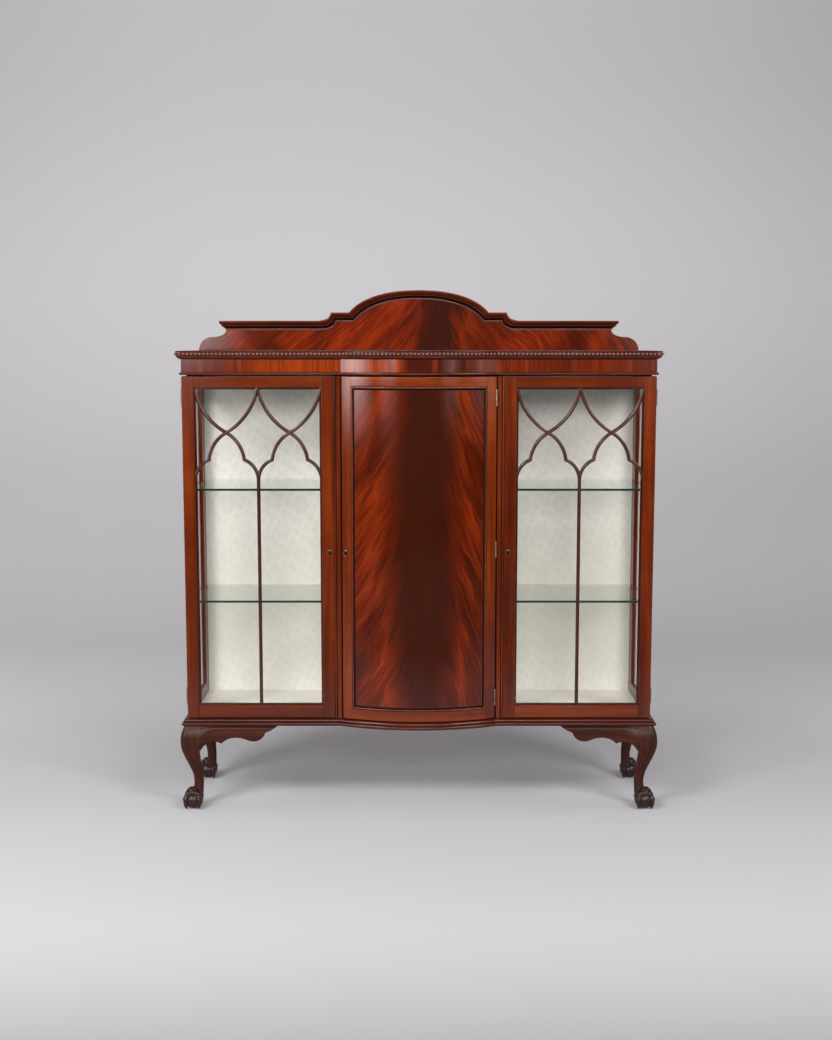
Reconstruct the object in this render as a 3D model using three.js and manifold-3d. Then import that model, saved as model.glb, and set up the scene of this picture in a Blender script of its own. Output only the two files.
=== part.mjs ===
// A bow-fronted china cabinet on cabriole legs: a bowed cupboard door between two glazed
// doors, glazed sides, fabric-lined display spaces with glass shelves, a moulded cornice
// and a shaped board standing on top of it at the back.
// Millimetres, +Z up, the front facing -Y, the origin on the floor at the middle of the box
// around the cabinet.
import * as THREE from 'three';
import { mergeVertices } from 'three/addons/utils/BufferGeometryUtils.js';
import Module from 'manifold-3d';

// ---------------------------------------------------------------- driving dimensions

// Case
const caseWidth = 1220;         // across the case sides
const caseDepth = 310;          // from the flat door faces to the back
const cupboardWidth = 400;      // between the two upright partitions
const bowMargin = 3;            // how far the bow runs past the cupboard on each side
const bowRise = 46;             // how far the bow stands forward of the flat doors
const partitionThickness = 20;
const sideThickness = 13;       // glazed side frames
const backThickness = 8;
const friezeThickness = 18;

// Heights, stacked from the floor
const legHeight = 229;
const baseHeight = 18;
const openingHeight = 899;      // between the base board and the carcass top
const topBeadHeight = 9.5;
const friezeHeight = 33.5;
const corniceHeight = 21;

// Mouldings round the case: how far each stands out, and the members of the larger two
const baseOverhang = 14.4;
const torusHeight = 10.5;       // lower member of the base
const torusDepth = 4.8;
const grooveHeight = 1;         // between the torus and the rounded edge over it
const edgeInset = 5.4;
const edgeDepth = 4.6;
const topBeadOverhang = 4.5;
const corniceOverhang = 16;
const bedOverhang = 7;          // fillet under the nosing
const bedHeight = 4.5;
const nosingDepth = 8;
const topFilletOverhang = 9;
const topFilletHeight = 3;

// Doors
const doorThickness = 20;
const bowDoorThickness = 22;
const doorGap = 1;              // between a door and what stands beside or behind it
const doorFootGap = 2;          // under a door
const doorHeadGap = 1.5;        // over a door
const doorStile = 31;
const doorTopRail = 28;
const doorFootRail = 32;
const bowDoorStile = 23;        // flat of the stile, outside the sunk moulding
const bowDoorTopRail = 24;
const bowDoorFootRail = 26;
const panelMoulding = 10;       // width of the sunk moulding round the bowed panel
const mouldingSink = 2.5;
const panelSink = 6;            // from the face of the bowed door to its panel
const panelThickness = 8;
const grooveDepth = 6;          // how far panes and panel run into their frames

// Glass
const paneThickness = 3;
const paneSetback = 9;          // from the face of the door to its pane
const shelfThickness = 6;
const lowShelfLevel = 308;      // tops of the shelves above the base board
const highShelfLevel = 605;
const shelfSetback = 40;        // from the flat door faces to the front of a glass shelf
const sideFrontStile = 40;
const sideBackStile = 55;
const sidePaneInset = 5;        // from the outside of the side frame to its pane

// Tracery over each pane
const barWidth = 9;
const barDepth = 6.5;
const crossDrop = 116;          // from the head of the pane to where the curves cross
const cuspDrop = 186;           // to the cusps
const cuspInset = 36;           // from the middle bar or the stile to a cusp
const joinDrop = 239;           // to where the curves run into the middle bar
const cornerAngle = 80;         // degrees below level at which the curves leave each point
const crossAngle = 30;
const cuspAngle = 22;

// Beaded front edge of each partition
const muntinBead = 4.5;
const quirkWidth = 2.5;
const quirkDepth = 2.5;
const beadRound = 1;

// Cupboard shelves and fabric-covered lining boards
const cupboardShelfThickness = 16;
const cupboardShelfSetback = 28;
const backLining = 4;
const floorLining = 3;
const wallLining = 3;

// Locks
const keyholeHeight = 443;      // above the base board
const keyholeInset = 11;        // from the edge of a glazed door to its keyhole
const bowKeyholeInset = 8;
const lockDepth = 21;
const lockThickness = 9;
const lockBelowKey = 18;
const lockAboveKey = 26;
const facePlateThickness = 1.8;
const facePlateWidth = 12;
const facePlateMargin = 10;     // how far the plate runs past the lock case
const boltLength = 15;
const boltThickness = 4;
const boltHeight = 10;
const boltAboveKey = 15;        // middle of the bolt above the keyhole
const boltTravel = 6;
const bowLockSetback = 8;       // middle of the bowed door's lock behind the flat door faces

// Keyhole plates
const plateWidth = 10;
const plateHeight = 17;
const plateThickness = 1;
const plateDrop = 2;            // middle of the plate below the keyhole
const keyBarrel = 2.2;
const keySlotWidth = 2;
const keySlotLength = 7;

// Butt hinges
const hingeHeight = 42;
const hingeFromTop = 54;        // middle of the top hinge below the head of the door
const hingeFromFoot = 55;
const knuckleRadius = 2.6;
const pinRadius = 1.3;
const pinTip = 1.5;             // how far a pin stands past its knuckles
const leafWidth = 11;
const leafThickness = 1.2;
const pinOffset = 3;            // from the edge of a glazed door to its hinge pins
const bowPinOffset = 3.2;       // from the flat door faces forward to the bowed door's pins

// Legs: distances outward from the corner that the leg stands under
const footHeight = 52;
const footRadius = 27;
const footCentre = -12;
const ballRoundness = 2.6;      // power of the curve that the ball follows
const ballCut = 0.9;            // share of the ball's half-height where the floor cuts it
const ballTop = 0.5;            // share where the neck starts
const ankleHeight = 70;
const ankleOut = -13.5;
const ankleIn = -38.3;
const kneeHeight = 184;
const kneeOut = 21;
const shankHollow = 6.5;        // at the back of the shank
const legPostOut = 9;
const legPostIn = -35;
const ankleSquareness = 2.2;    // power of the section's outline: 2 is round
const kneeSquareness = 3.8;
const postSquareness = 5;
const backLegSetback = 22;      // keeps the back knees flush with the back of the case

// Shaped aprons under the base board
const apronThickness = 22;
const apronProud = 8;           // in front of the case
const apronLength = 204;
const apronEarDrop = 64;        // at the leg
const apronNeck = 34;           // from the leg to each turn of the lower edge, and its drop
const apronNeckDrop = 42;
const apronPoint = 54;
const apronPointDrop = 48.5;
const apronHollow = 90;
const apronHollowDrop = 33;
const sideHollowDrop = 28;      // hollow in the middle of a side apron
const apronBelly = 139;
const apronBellyDrop = 43;
const bellySway = 20;           // how far the line from hollow to belly stays level
const apronCusp = 169;
const apronCuspDrop = 20;
const earAngle = 66;            // degrees of rise at which the arcs leave the leg, point and cusp
const pointAngle = 48;
const cuspRise = 22;

// Board and moulding on top
const boardThickness = 18;
const capHeight = 24;
const capUpperHeight = 12;      // the part of the cap that stands proud of the rest
const capLean = 0.6;            // how far its lower lines are drawn in, for each unit of drop
const capProud = 18;
const capLowerProud = 8;
const shoulderReach = 607;      // half-width of the board where it meets the cornice
const shoulderHeight = 37;
const shoulderWidth = 32;
const neckWidth = 33;
const neckHeight = 19;
const wingTop = 81;             // heights above the cornice
const stepTop = 103.5;
const stepEnd = 242;            // half-widths
const stepStart = 192;
const stepCove = 38;
const archHeight = 164;
const archSpan = 210.5;         // half-width and roundness of the oval that the crest follows
const archRoundness = 2.25;

const fit = 0.3;                // gap between pieces that meet
const slip = 0.3;               // clearance round a piece that slides or turns
const lap = 1;                  // how far joined shapes run into each other, and cuts run past

// ---------------------------------------------------------------- levels and places

const zBase = legHeight;
const zFloor = zBase + baseHeight;
const zCeiling = zFloor + openingHeight;
const zFrieze = zCeiling + topBeadHeight;
const zCornice = zFrieze + friezeHeight;
const zTop = zCornice + corniceHeight;
const shelfLevels = [zFloor + lowShelfLevel, zFloor + highShelfLevel];
const zDoorFoot = zFloor + doorFootGap;
const zDoorHead = zCeiling - doorHeadGap;
const zKey = zFloor + keyholeHeight;

const frontReach = bowRise + corniceOverhang;
const faceY = frontReach - (caseDepth + frontReach) / 2;
const backY = faceY + caseDepth;
const halfCase = caseWidth / 2;
const halfCupboard = cupboardWidth / 2;
const partitionOuter = halfCupboard + partitionThickness;
const sideInner = halfCase - sideThickness;
const sideFrontY = faceY + doorThickness + doorGap;
const backBoardY = backY - backThickness;
const backLiningY = backBoardY - fit - backLining;
const floorLiningZ = zFloor + fit + floorLining;
const wallLiningX = partitionOuter + fit + wallLining;

const bowHalf = halfCupboard + bowMargin;
const bowRadius = (bowHalf ** 2 + bowRise ** 2) / (2 * bowRise);
const bowCentreY = faceY - bowRise + bowRadius;
const bowDoorEdge = halfCupboard - doorGap;
const glazedDoorEdge = partitionOuter + doorGap;
const neckX = shoulderReach - shoulderWidth - neckWidth;

// ---------------------------------------------------------------- materials

const mahogany = new THREE.MeshStandardMaterial({ color: 0x6e2c18, roughness: 0.35, metalness: 0 });
const veneer = new THREE.MeshStandardMaterial({ color: 0x8a3318, roughness: 0.28, metalness: 0 });
const flame = new THREE.MeshStandardMaterial({ color: 0x7a2a14, roughness: 0.22, metalness: 0 });
const bars = new THREE.MeshStandardMaterial({ color: 0x55271f, roughness: 0.35, metalness: 0 });
const carved = new THREE.MeshStandardMaterial({ color: 0x5a281e, roughness: 0.4, metalness: 0 });
const carcass = new THREE.MeshStandardMaterial({ color: 0x8a5a3a, roughness: 0.7, metalness: 0 });
const damask = new THREE.MeshStandardMaterial({ color: 0xe1ded4, roughness: 0.9, metalness: 0 });
const clearGlass = new THREE.MeshStandardMaterial({
  color: 0xeef4f0, roughness: 0.05, metalness: 0, transparent: true, opacity: 0.25,
});
const shelfGlass = new THREE.MeshStandardMaterial({
  color: 0xa9cdbd, roughness: 0.05, metalness: 0, transparent: true, opacity: 0.4,
});
const brass = new THREE.MeshStandardMaterial({ color: 0x9c8150, roughness: 0.4, metalness: 1 });
const steel = new THREE.MeshStandardMaterial({ color: 0x8f8c88, roughness: 0.4, metalness: 1 });

// ---------------------------------------------------------------- solids

const wasm = await Module();
wasm.setup();

function closed(geometry) {
  geometry.deleteAttribute('normal');
  geometry.deleteAttribute('uv');
  return mergeVertices(geometry);
}

function toSolid(geometry) {
  const mesh = closed(geometry.clone());
  return new wasm.Manifold(new wasm.Mesh({
    numProp: 3,
    vertProperties: new Float32Array(mesh.attributes.position.array),
    triVerts: new Uint32Array(mesh.index.array),
  }));
}

function toGeometry(solid) {
  const mesh = solid.getMesh();
  const geometry = new THREE.BufferGeometry();
  geometry.setAttribute('position', new THREE.BufferAttribute(mesh.vertProperties, 3));
  geometry.setIndex(new THREE.BufferAttribute(mesh.triVerts, 1));
  return geometry;
}

function join(...geometries) {
  return toGeometry(geometries.map(toSolid).reduce((sum, next) => sum.add(next)));
}

function cut(geometry, ...tools) {
  return toGeometry(tools.map(toSolid).reduce((rest, tool) => rest.subtract(tool), toSolid(geometry)));
}

function common(geometry, other) {
  return toGeometry(toSolid(geometry).intersect(toSolid(other)));
}

// A box between two corners.
function block(x0, x1, y0, y1, z0, z1) {
  const box = new THREE.BoxGeometry(x1 - x0, y1 - y0, z1 - z0);
  return box.translate((x0 + x1) / 2, (y0 + y1) / 2, (z0 + z1) / 2);
}

// A round bar along Z, its middle at the origin.
function rod(radius, length, sides = 12) {
  return new THREE.CylinderGeometry(radius, radius, length, sides).rotateX(Math.PI / 2);
}

// An outline with optional holes, pushed out by depth along w; u and v carry the outline.
function push(outline, depth, u, v, holes = []) {
  const shape = new THREE.Shape(outline);
  shape.holes = holes.map((hole) => new THREE.Path(hole));
  const geometry = new THREE.ExtrudeGeometry(shape, { depth, bevelEnabled: false, steps: 1 });
  const w = u.clone().cross(v);
  return geometry.applyMatrix4(new THREE.Matrix4().makeBasis(u, v, w));
}

const alongX = new THREE.Vector3(1, 0, 0);
const alongY = new THREE.Vector3(0, 1, 0);
const alongZ = new THREE.Vector3(0, 0, 1);

// A plan outline (x, y) standing from z0 to z1.
function upright(outline, z0, z1, holes = []) {
  return push(outline, z1 - z0, alongX, alongY, holes).translate(0, 0, z0);
}

// A front outline (x, z) running back from y0 to y1.
function facing(outline, y0, y1) {
  return push(outline, y1 - y0, alongX, alongZ).translate(0, y1, 0);
}

// A side outline (y, z) running across from x0 to x1.
function sideways(outline, x0, x1) {
  return push(outline, x1 - x0, alongY, alongZ).translate(x0, 0, 0);
}

// Loops of equal length, each counter-clockwise from above, joined from the first to the last.
function loft(loops) {
  const count = loops[0].length;
  const positions = loops.flat().flatMap((p) => [p.x, p.y, p.z]);
  const faces = THREE.ShapeUtils.triangulateShape(loops[0].map((p) => new THREE.Vector2(p.x, p.y)), []);
  const lid = (loops.length - 1) * count;
  const index = faces.flatMap(([a, b, c]) => [c, b, a, a + lid, b + lid, c + lid]);
  for (let ring = 0; ring < lid; ring += count) {
    for (let i = 0; i < count; i += 1) {
      const a = ring + i;
      const b = ring + ((i + 1) % count);
      index.push(a, b, b + count, a, b + count, a + count);
    }
  }
  const geometry = new THREE.BufferGeometry();
  geometry.setAttribute('position', new THREE.Float32BufferAttribute(positions, 3));
  geometry.setIndex(index);
  return geometry;
}

// The same solid on the other side of the cabinet.
function mirrored(geometry) {
  const copy = closed(geometry.clone()).scale(-1, 1, 1);
  const index = copy.index.array;
  for (let i = 0; i < index.length; i += 3) {
    [index[i], index[i + 1]] = [index[i + 1], index[i]];
  }
  return copy;
}

const cabinet = new THREE.Group();

function piece(name, geometry, material) {
  const mesh = new THREE.Mesh(geometry, material);
  mesh.name = name;
  cabinet.add(mesh);
}

// A right-hand piece and its mirror image.
function pair(name, geometry, material) {
  piece(`${name}_right`, geometry, material);
  piece(`${name}_left`, mirrored(geometry), material);
}

// ---------------------------------------------------------------- curves

const point = (x, y) => new THREE.Vector2(x, y);

// The bow at a given distance outside its face: y at a given x.
function bowY(x, out = 0) {
  return bowCentreY - Math.sqrt((bowRadius + out) ** 2 - x ** 2);
}

// Points along the bow from x0 to x1.
function bowLine(x0, x1, out, steps) {
  const angle0 = Math.asin(x0 / (bowRadius + out));
  const angle1 = Math.asin(x1 / (bowRadius + out));
  return Array.from({ length: steps + 1 }, (_, i) => {
    const x = (bowRadius + out) * Math.sin(angle0 + ((angle1 - angle0) * i) / steps);
    return point(x, bowY(x, out));
  });
}

// The plan of the case grown by out at the front and sides; its back edge is at rear.
function casePlan(out, rear = backY) {
  const side = halfCase + out;
  const front = faceY - out;
  const meet = Math.sqrt(bowRise * (2 * bowRadius + 2 * out - bowRise));
  return [
    point(-side, rear), point(-side, front),
    ...bowLine(-meet, meet, out, 24),
    point(side, front), point(side, rear),
  ];
}

const mix = THREE.MathUtils.lerp;

// A moulding's profile lists how far it stands out and how high it is, from the underside up.
// This one swells by depth to reach out halfway between z0 and z1.
function bulge(out, depth, z0, z1) {
  const steps = 6;
  return Array.from({ length: steps + 1 }, (_, i) => {
    const turn = (Math.PI * i) / steps;
    return [out - depth * (1 - Math.sin(turn)), mix(z0, z1, (1 - Math.cos(turn)) / 2)];
  });
}

// This one rises from z0 and rounds over by depth to z1.
function roundOver(out, depth, z0, z1) {
  const steps = 4;
  return Array.from({ length: steps + 1 }, (_, i) => {
    const turn = (Math.PI / 2) * (i / steps);
    return [out - depth * (1 - Math.cos(turn)), mix(z0, z1, Math.sin(turn))];
  });
}

// A slab with the plan of the case and a moulded edge.
function mouldedSlab(profile, z0) {
  return loft(profile.map(([out, rise]) => casePlan(out).map((p) => new THREE.Vector3(p.x, p.y, z0 + rise))));
}

// An arc from one point to another that leaves the first in a direction given in degrees.
function arc(from, to, degrees, steps) {
  const leaving = THREE.MathUtils.degToRad(degrees);
  const chord = to.clone().sub(from);
  const half = Math.asin(Math.sin(chord.angle() - leaving));
  return Array.from({ length: steps + 1 }, (_, i) => {
    const turn = (half * i) / steps;
    const reach = (chord.length() * Math.sin(turn)) / Math.sin(half);
    return point(from.x + reach * Math.cos(leaving + turn), from.y + reach * Math.sin(leaving + turn));
  });
}

// A quarter of an ellipse, from the end of its first half-axis to the end of its second.
function quarter(centre, first, second, steps) {
  return Array.from({ length: steps + 1 }, (_, i) => {
    const turn = (Math.PI / 2) * (i / steps);
    return centre.clone().addScaledVector(first, Math.cos(turn)).addScaledVector(second, Math.sin(turn));
  });
}

// A line moved sideways, to the right of its direction, with mitred corners.
function offsetLine(line, distance) {
  return line.map((p, i) => {
    const before = p.clone().sub(line[i - 1] ?? p);
    const after = (line[i + 1] ?? p).clone().sub(p);
    const a = (before.lengthSq() > 0 ? before : after).clone().normalize();
    const b = (after.lengthSq() > 0 ? after : before).clone().normalize();
    const along = a.clone().add(b).normalize();
    const reach = distance / along.dot(b);
    return point(p.x + along.y * reach, p.y - along.x * reach);
  });
}

// A flat bar of a given width along a line.
function ribbon(line, width) {
  return [...offsetLine(line, width / 2), ...offsetLine(line, -width / 2).reverse()];
}

// ---------------------------------------------------------------- carcass

function carcassPieces() {
  const baseProfile = [
    ...bulge(baseOverhang, torusDepth, 0, torusHeight),
    ...roundOver(baseOverhang - edgeInset, edgeDepth, torusHeight + grooveHeight, baseHeight),
  ];
  piece('base_board', mouldedSlab(baseProfile, zBase), mahogany);
  const bead = bulge(topBeadOverhang, topBeadOverhang, 0, topBeadHeight);
  piece('carcass_top', mouldedSlab(bead, zCeiling), mahogany);

  const z0 = zFloor + fit;
  const z1 = zCeiling - fit;
  piece('back_board', block(fit - sideInner, sideInner - fit, backBoardY, backY, z0, z1), carcass);

  const shelfBack = backBoardY - fit;
  shelfLevels.forEach((top, i) => {
    const shelf = block(
      fit - halfCupboard, halfCupboard - fit, faceY + cupboardShelfSetback, shelfBack,
      top - cupboardShelfThickness, top,
    );
    piece(`cupboard_shelf_${i + 1}`, shelf, carcass);
  });
}

function friezePiece() {
  const inner = casePlan(-friezeThickness, backY - friezeThickness);
  piece('frieze', upright(casePlan(0), zFrieze + fit, zCornice - fit, [inner]), veneer);
}

function cornicePiece() {
  const nosingTop = corniceHeight - topFilletHeight;
  const profile = [
    [bedOverhang, 0], [bedOverhang, bedHeight],
    ...bulge(corniceOverhang, nosingDepth, bedHeight, nosingTop),
    [topFilletOverhang, nosingTop], [topFilletOverhang, corniceHeight],
  ];
  piece('cornice', mouldedSlab(profile, zCornice), mahogany);
}

// ---------------------------------------------------------------- sides

function sidePieces(hinges) {
  const z0 = zFloor + fit;
  const z1 = zCeiling - fit;
  const yFront = sideFrontY + sideFrontStile;
  const yBack = backY - sideBackStile;
  const zSill = zDoorFoot + doorFootRail;
  const zHead = zDoorHead - doorTopRail;
  const paneX = halfCase - sidePaneInset - paneThickness;
  const g = grooveDepth;
  const frame = cut(
    block(sideInner, halfCase, sideFrontY, backY, z0, z1),
    block(sideInner - lap, halfCase + lap, yFront, yBack, zSill, zHead),
    block(paneX - slip, paneX + paneThickness + slip, yFront - g - slip, yBack + g + slip,
      zSill - g - slip, zHead + g + slip),
    ...hinges.map((hinge) => hinge.caseRecess),
  );
  pair('side_frame', frame, mahogany);
  pair('side_glass', block(paneX, paneX + paneThickness, yFront - g, yBack + g, zSill - g, zHead + g),
    clearGlass);
}

// ---------------------------------------------------------------- partitions

function partitionPlan() {
  const beadStart = partitionOuter - muntinBead;
  const quirkStart = beadStart - quirkWidth;
  const quirkY = faceY + quirkDepth;
  const roundY = faceY + beadRound;
  const rear = backBoardY - fit;
  return [
    point(halfCupboard, rear), point(halfCupboard, faceY), point(quirkStart, faceY),
    point(quirkStart, quirkY), point(beadStart, quirkY), point(beadStart, roundY),
    point(beadStart + beadRound, faceY), point(partitionOuter - beadRound, faceY),
    point(partitionOuter, roundY), point(partitionOuter, rear),
  ];
}

function partitionPieces(bowHinges, sideLock, bowLock) {
  const blank = upright(partitionPlan(), zFloor + fit, zCeiling - fit);
  const right = cut(blank, sideLock.strike, ...bowHinges.map((hinge) => hinge.caseRecess));
  const left = cut(mirrored(blank), mirrored(sideLock.strike), bowLock.strike);
  piece('partition_right', right, mahogany);
  piece('partition_left', left, mahogany);
}

// ---------------------------------------------------------------- lining and glass shelves

function displayPieces() {
  const x0 = partitionOuter + fit;
  const x1 = sideInner - fit;
  const yFront = sideFrontY + fit;
  const yBack = backBoardY - fit;
  const z0 = zFloor + fit;
  const z1 = zCeiling - fit;
  const lining = join(
    block(x0, x1, backLiningY, yBack, z0, z1),
    block(x0, x1, yFront, yBack, z0, floorLiningZ),
    block(x0, wallLiningX, yFront, yBack, z0, z1),
  );
  pair('lining', lining, damask);
  shelfLevels.forEach((top, i) => {
    const shelf = block(wallLiningX + fit, x1, faceY + shelfSetback, backLiningY - fit,
      top - shelfThickness, top);
    pair(`glass_shelf_${i + 1}`, shelf, shelfGlass);
  });
}

// ---------------------------------------------------------------- hinges

// One butt hinge about a vertical pin. Into points from the pin into the joint, which starts at
// offset, and across points from the door to the case. The recesses are what its leaves need
// cut in door and case.
function hingeAt(x, y, z, into, across, offset) {
  const place = new THREE.Matrix4().makeBasis(into, across, into.clone().cross(across));
  place.setPosition(x, y, z);
  const near = doorGap / 2;
  const far = near + leafThickness;
  const root = offset + fit;
  const tip = root + leafWidth;
  const half = hingeHeight / 2;
  const third = hingeHeight / 6;
  const knuckle = (z0, z1) => rod(knuckleRadius, z1 - z0).translate(0, 0, (z0 + z1) / 2);
  const caseLeaf = join(
    block(root, tip, near, far, -half, half),
    block(0, root + lap, near, far, third + slip, half),
    block(0, root + lap, near, far, -half, -third - slip),
    knuckle(third + slip, half),
    knuckle(-half, -third - slip),
    rod(pinRadius, 2 * (half + pinTip)),
  );
  const doorLeaf = cut(
    join(
      block(root, tip, -far, -near, -half, half),
      block(0, root + lap, -far, -near, -third, third),
      knuckle(-third, third),
    ),
    rod(pinRadius + slip, hingeHeight),
  );
  const reach = half + pinTip + fit;
  return {
    caseLeaf: caseLeaf.applyMatrix4(place),
    doorLeaf: doorLeaf.applyMatrix4(place),
    caseRecess: block(-lap, tip + fit, near - lap, far + fit, -half - fit, half + fit)
      .applyMatrix4(place),
    doorRecess: join(
      block(-lap, tip + fit, -far - fit, lap - near, -half - fit, half + fit),
      rod(knuckleRadius + slip, 2 * reach),
    ).applyMatrix4(place),
  };
}

function glazedDoorHinges() {
  const heights = [zDoorFoot + hingeFromFoot, zDoorHead - hingeFromTop];
  const x = halfCase + pinOffset;
  const y = faceY + doorThickness + doorGap / 2;
  return heights.map((z) => hingeAt(x, y, z, new THREE.Vector3(-1, 0, 0), alongY, pinOffset));
}

function bowDoorHinges() {
  const low = zDoorFoot + hingeFromFoot;
  const high = zDoorHead - hingeFromTop;
  const x = halfCupboard - doorGap / 2;
  const y = faceY - bowPinOffset;
  return [low, (low + high) / 2, high].map((z) => hingeAt(x, y, z, alongY, alongX, bowPinOffset));
}

function hingePieces(hinges, place) {
  hinges.forEach((hinge, i) => {
    place(`hinge_${i + 1}_case_leaf`, hinge.caseLeaf, brass);
    place(`hinge_${i + 1}_door_leaf`, hinge.doorLeaf, brass);
  });
}

// ---------------------------------------------------------------- locks

// A keyhole through everything from y0 to y1.
function keyhole(x, y0, y1) {
  const barrel = rod(keyBarrel, y1 - y0).rotateX(Math.PI / 2).translate(x, (y0 + y1) / 2, zKey);
  const slot = block(x - keySlotWidth / 2, x + keySlotWidth / 2, y0, y1, zKey - keySlotLength, zKey);
  return join(barrel, slot);
}

// A mortise lock let into a door edge that faces -X at the given x; y is its middle.
function lockAt(edge, y, inset, face) {
  const z0 = zKey - lockBelowKey;
  const z1 = zKey + lockAboveKey;
  const half = lockThickness / 2;
  const start = edge + fit;
  const box = (grow) => join(
    block(start - grow, start + lockDepth + grow, y - half - grow, y + half + grow, z0 - grow, z1 + grow),
    block(edge - grow, start + facePlateThickness + grow, y - facePlateWidth / 2 - grow,
      y + facePlateWidth / 2 + grow, z0 - facePlateMargin - grow, z1 + facePlateMargin + grow),
  );
  const boltZ = zKey + boltAboveKey;
  const boltBox = (x0, x1, grow) => block(
    x0, x1, y - boltThickness / 2 - grow, y + boltThickness / 2 + grow,
    boltZ - boltHeight / 2 - grow, boltZ + boltHeight / 2 + grow,
  );
  const key = keyhole(edge + inset, face, y);
  return {
    body: cut(box(0), boltBox(edge - lap, start + boltLength + slip, slip), key),
    bolt: boltBox(start, start + boltLength, 0),
    pocket: join(box(fit), key),
    strike: boltBox(edge - doorGap - boltTravel, edge, 2 * slip),
    keyX: edge + inset,
  };
}

function keyPlate() {
  const oval = new THREE.EllipseCurve(0, 0, plateWidth / 2, plateHeight / 2).getPoints(24).slice(0, -1);
  const plate = facing(oval, -plateThickness, 0).translate(0, 0, zKey - plateDrop);
  return cut(plate, keyhole(0, -plateThickness - lap, lap));
}

function lockPieces(lock, place) {
  place('lock', lock.body, brass);
  place('lock_bolt', lock.bolt, brass);
}

// ---------------------------------------------------------------- glazed doors

const pane = {
  x0: glazedDoorEdge + doorStile,
  x1: halfCase - doorStile,
  z0: zDoorFoot + doorFootRail,
  z1: zDoorHead - doorTopRail,
};

// Half of the tracery runs from a top corner of the pane down to the middle bar, in three
// arcs: to the crossing, to the cusp and to the bar. Lengths go across and down the pane.
function traceryLine() {
  const half = (pane.x1 - pane.x0) / 2;
  const crossing = point(half / 2, crossDrop);
  const cusp = point(half - cuspInset, cuspDrop);
  const steps = 7;
  return [
    ...arc(point(0, 0), crossing, cornerAngle, steps),
    ...arc(crossing, cusp, crossAngle, steps).slice(1),
    ...arc(cusp, point(half, joinDrop), cuspAngle, steps).slice(1),
  ];
}

function tracery() {
  const half = (pane.x1 - pane.x0) / 2;
  const middle = (pane.x0 + pane.x1) / 2;
  const y1 = faceY + paneSetback - fit;
  const y0 = y1 - barDepth;
  const line = traceryLine();
  const curves = [-1, 1].flatMap((side) => [
    line.map((p) => point(middle + side * (half - p.x), pane.z1 - p.y)),
    line.map((p) => point(middle + side * p.x, pane.z1 - p.y)),
  ]);
  const bar = block(middle - barWidth / 2, middle + barWidth / 2, y0, y1,
    pane.z0, pane.z1 - joinDrop + barWidth);
  const all = join(bar, ...curves.map((curve) => facing(ribbon(curve, barWidth), y0, y1)));
  return common(all, block(pane.x0 + fit, pane.x1 - fit, y0 - lap, y1 + lap, pane.z0 + fit, pane.z1 - fit));
}

function glazedDoorPieces(hinges, lock) {
  const g = grooveDepth;
  const paneY = faceY + paneSetback;
  const frame = cut(
    block(glazedDoorEdge, halfCase, faceY, faceY + doorThickness, zDoorFoot, zDoorHead),
    block(pane.x0, pane.x1, faceY - lap, faceY + doorThickness + lap, pane.z0, pane.z1),
    block(pane.x0 - g - slip, pane.x1 + g + slip, paneY - slip, paneY + paneThickness + slip,
      pane.z0 - g - slip, pane.z1 + g + slip),
    lock.pocket,
    ...hinges.map((hinge) => hinge.doorRecess),
  );
  pair('door_frame', frame, mahogany);
  pair('door_glass', block(pane.x0 - g, pane.x1 + g, paneY, paneY + paneThickness,
    pane.z0 - g, pane.z1 + g), clearGlass);
  pair('door_tracery', tracery(), bars);
  pair('keyhole_plate', keyPlate().translate(lock.keyX, faceY - fit, 0), steel);
  lockPieces(lock, pair);
  hingePieces(hinges, pair);
}

// ---------------------------------------------------------------- bowed door

// Part of the bow between two depths behind its face, out to a half-width on each side.
function bowShell(halfWidth, near, far, z0, z1, steps = 20) {
  const outer = bowLine(-halfWidth, halfWidth, -near, steps);
  const inner = bowLine(-halfWidth, halfWidth, -far, steps);
  return upright([...outer, ...inner.reverse()], z0, z1);
}

function bowDoorPieces(hinges, lock) {
  const sight = bowDoorEdge - bowDoorStile - panelMoulding;
  const g = grooveDepth;
  const z0 = zDoorFoot + bowDoorFootRail;
  const z1 = zDoorHead - bowDoorTopRail;
  const p0 = z0 + panelMoulding;
  const p1 = z1 - panelMoulding;
  const frame = cut(
    bowShell(bowDoorEdge, 0, bowDoorThickness, zDoorFoot, zDoorHead),
    bowShell(sight + panelMoulding, -lap, mouldingSink, z0, z1),
    bowShell(sight, -lap, bowDoorThickness + lap, p0, p1),
    bowShell(sight + g + slip, panelSink - slip, panelSink + panelThickness + slip,
      p0 - g - slip, p1 + g + slip),
    lock.pocket,
    ...hinges.map((hinge) => hinge.doorRecess),
  );
  piece('door_frame_centre', frame, mahogany);
  piece('door_panel_centre', bowShell(sight + g, panelSink, panelSink + panelThickness,
    p0 - g, p1 + g), flame);
  const slope = Math.asin(lock.keyX / bowRadius);
  const plate = keyPlate().translate(0, -fit, 0).rotateZ(slope);
  piece('keyhole_plate_centre', plate.translate(lock.keyX, bowY(lock.keyX), 0), steel);
  const add = (name, geometry, material) => piece(`${name}_centre`, geometry, material);
  lockPieces(lock, add);
  hingePieces(hinges, add);
}

// ---------------------------------------------------------------- legs and aprons

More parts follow.
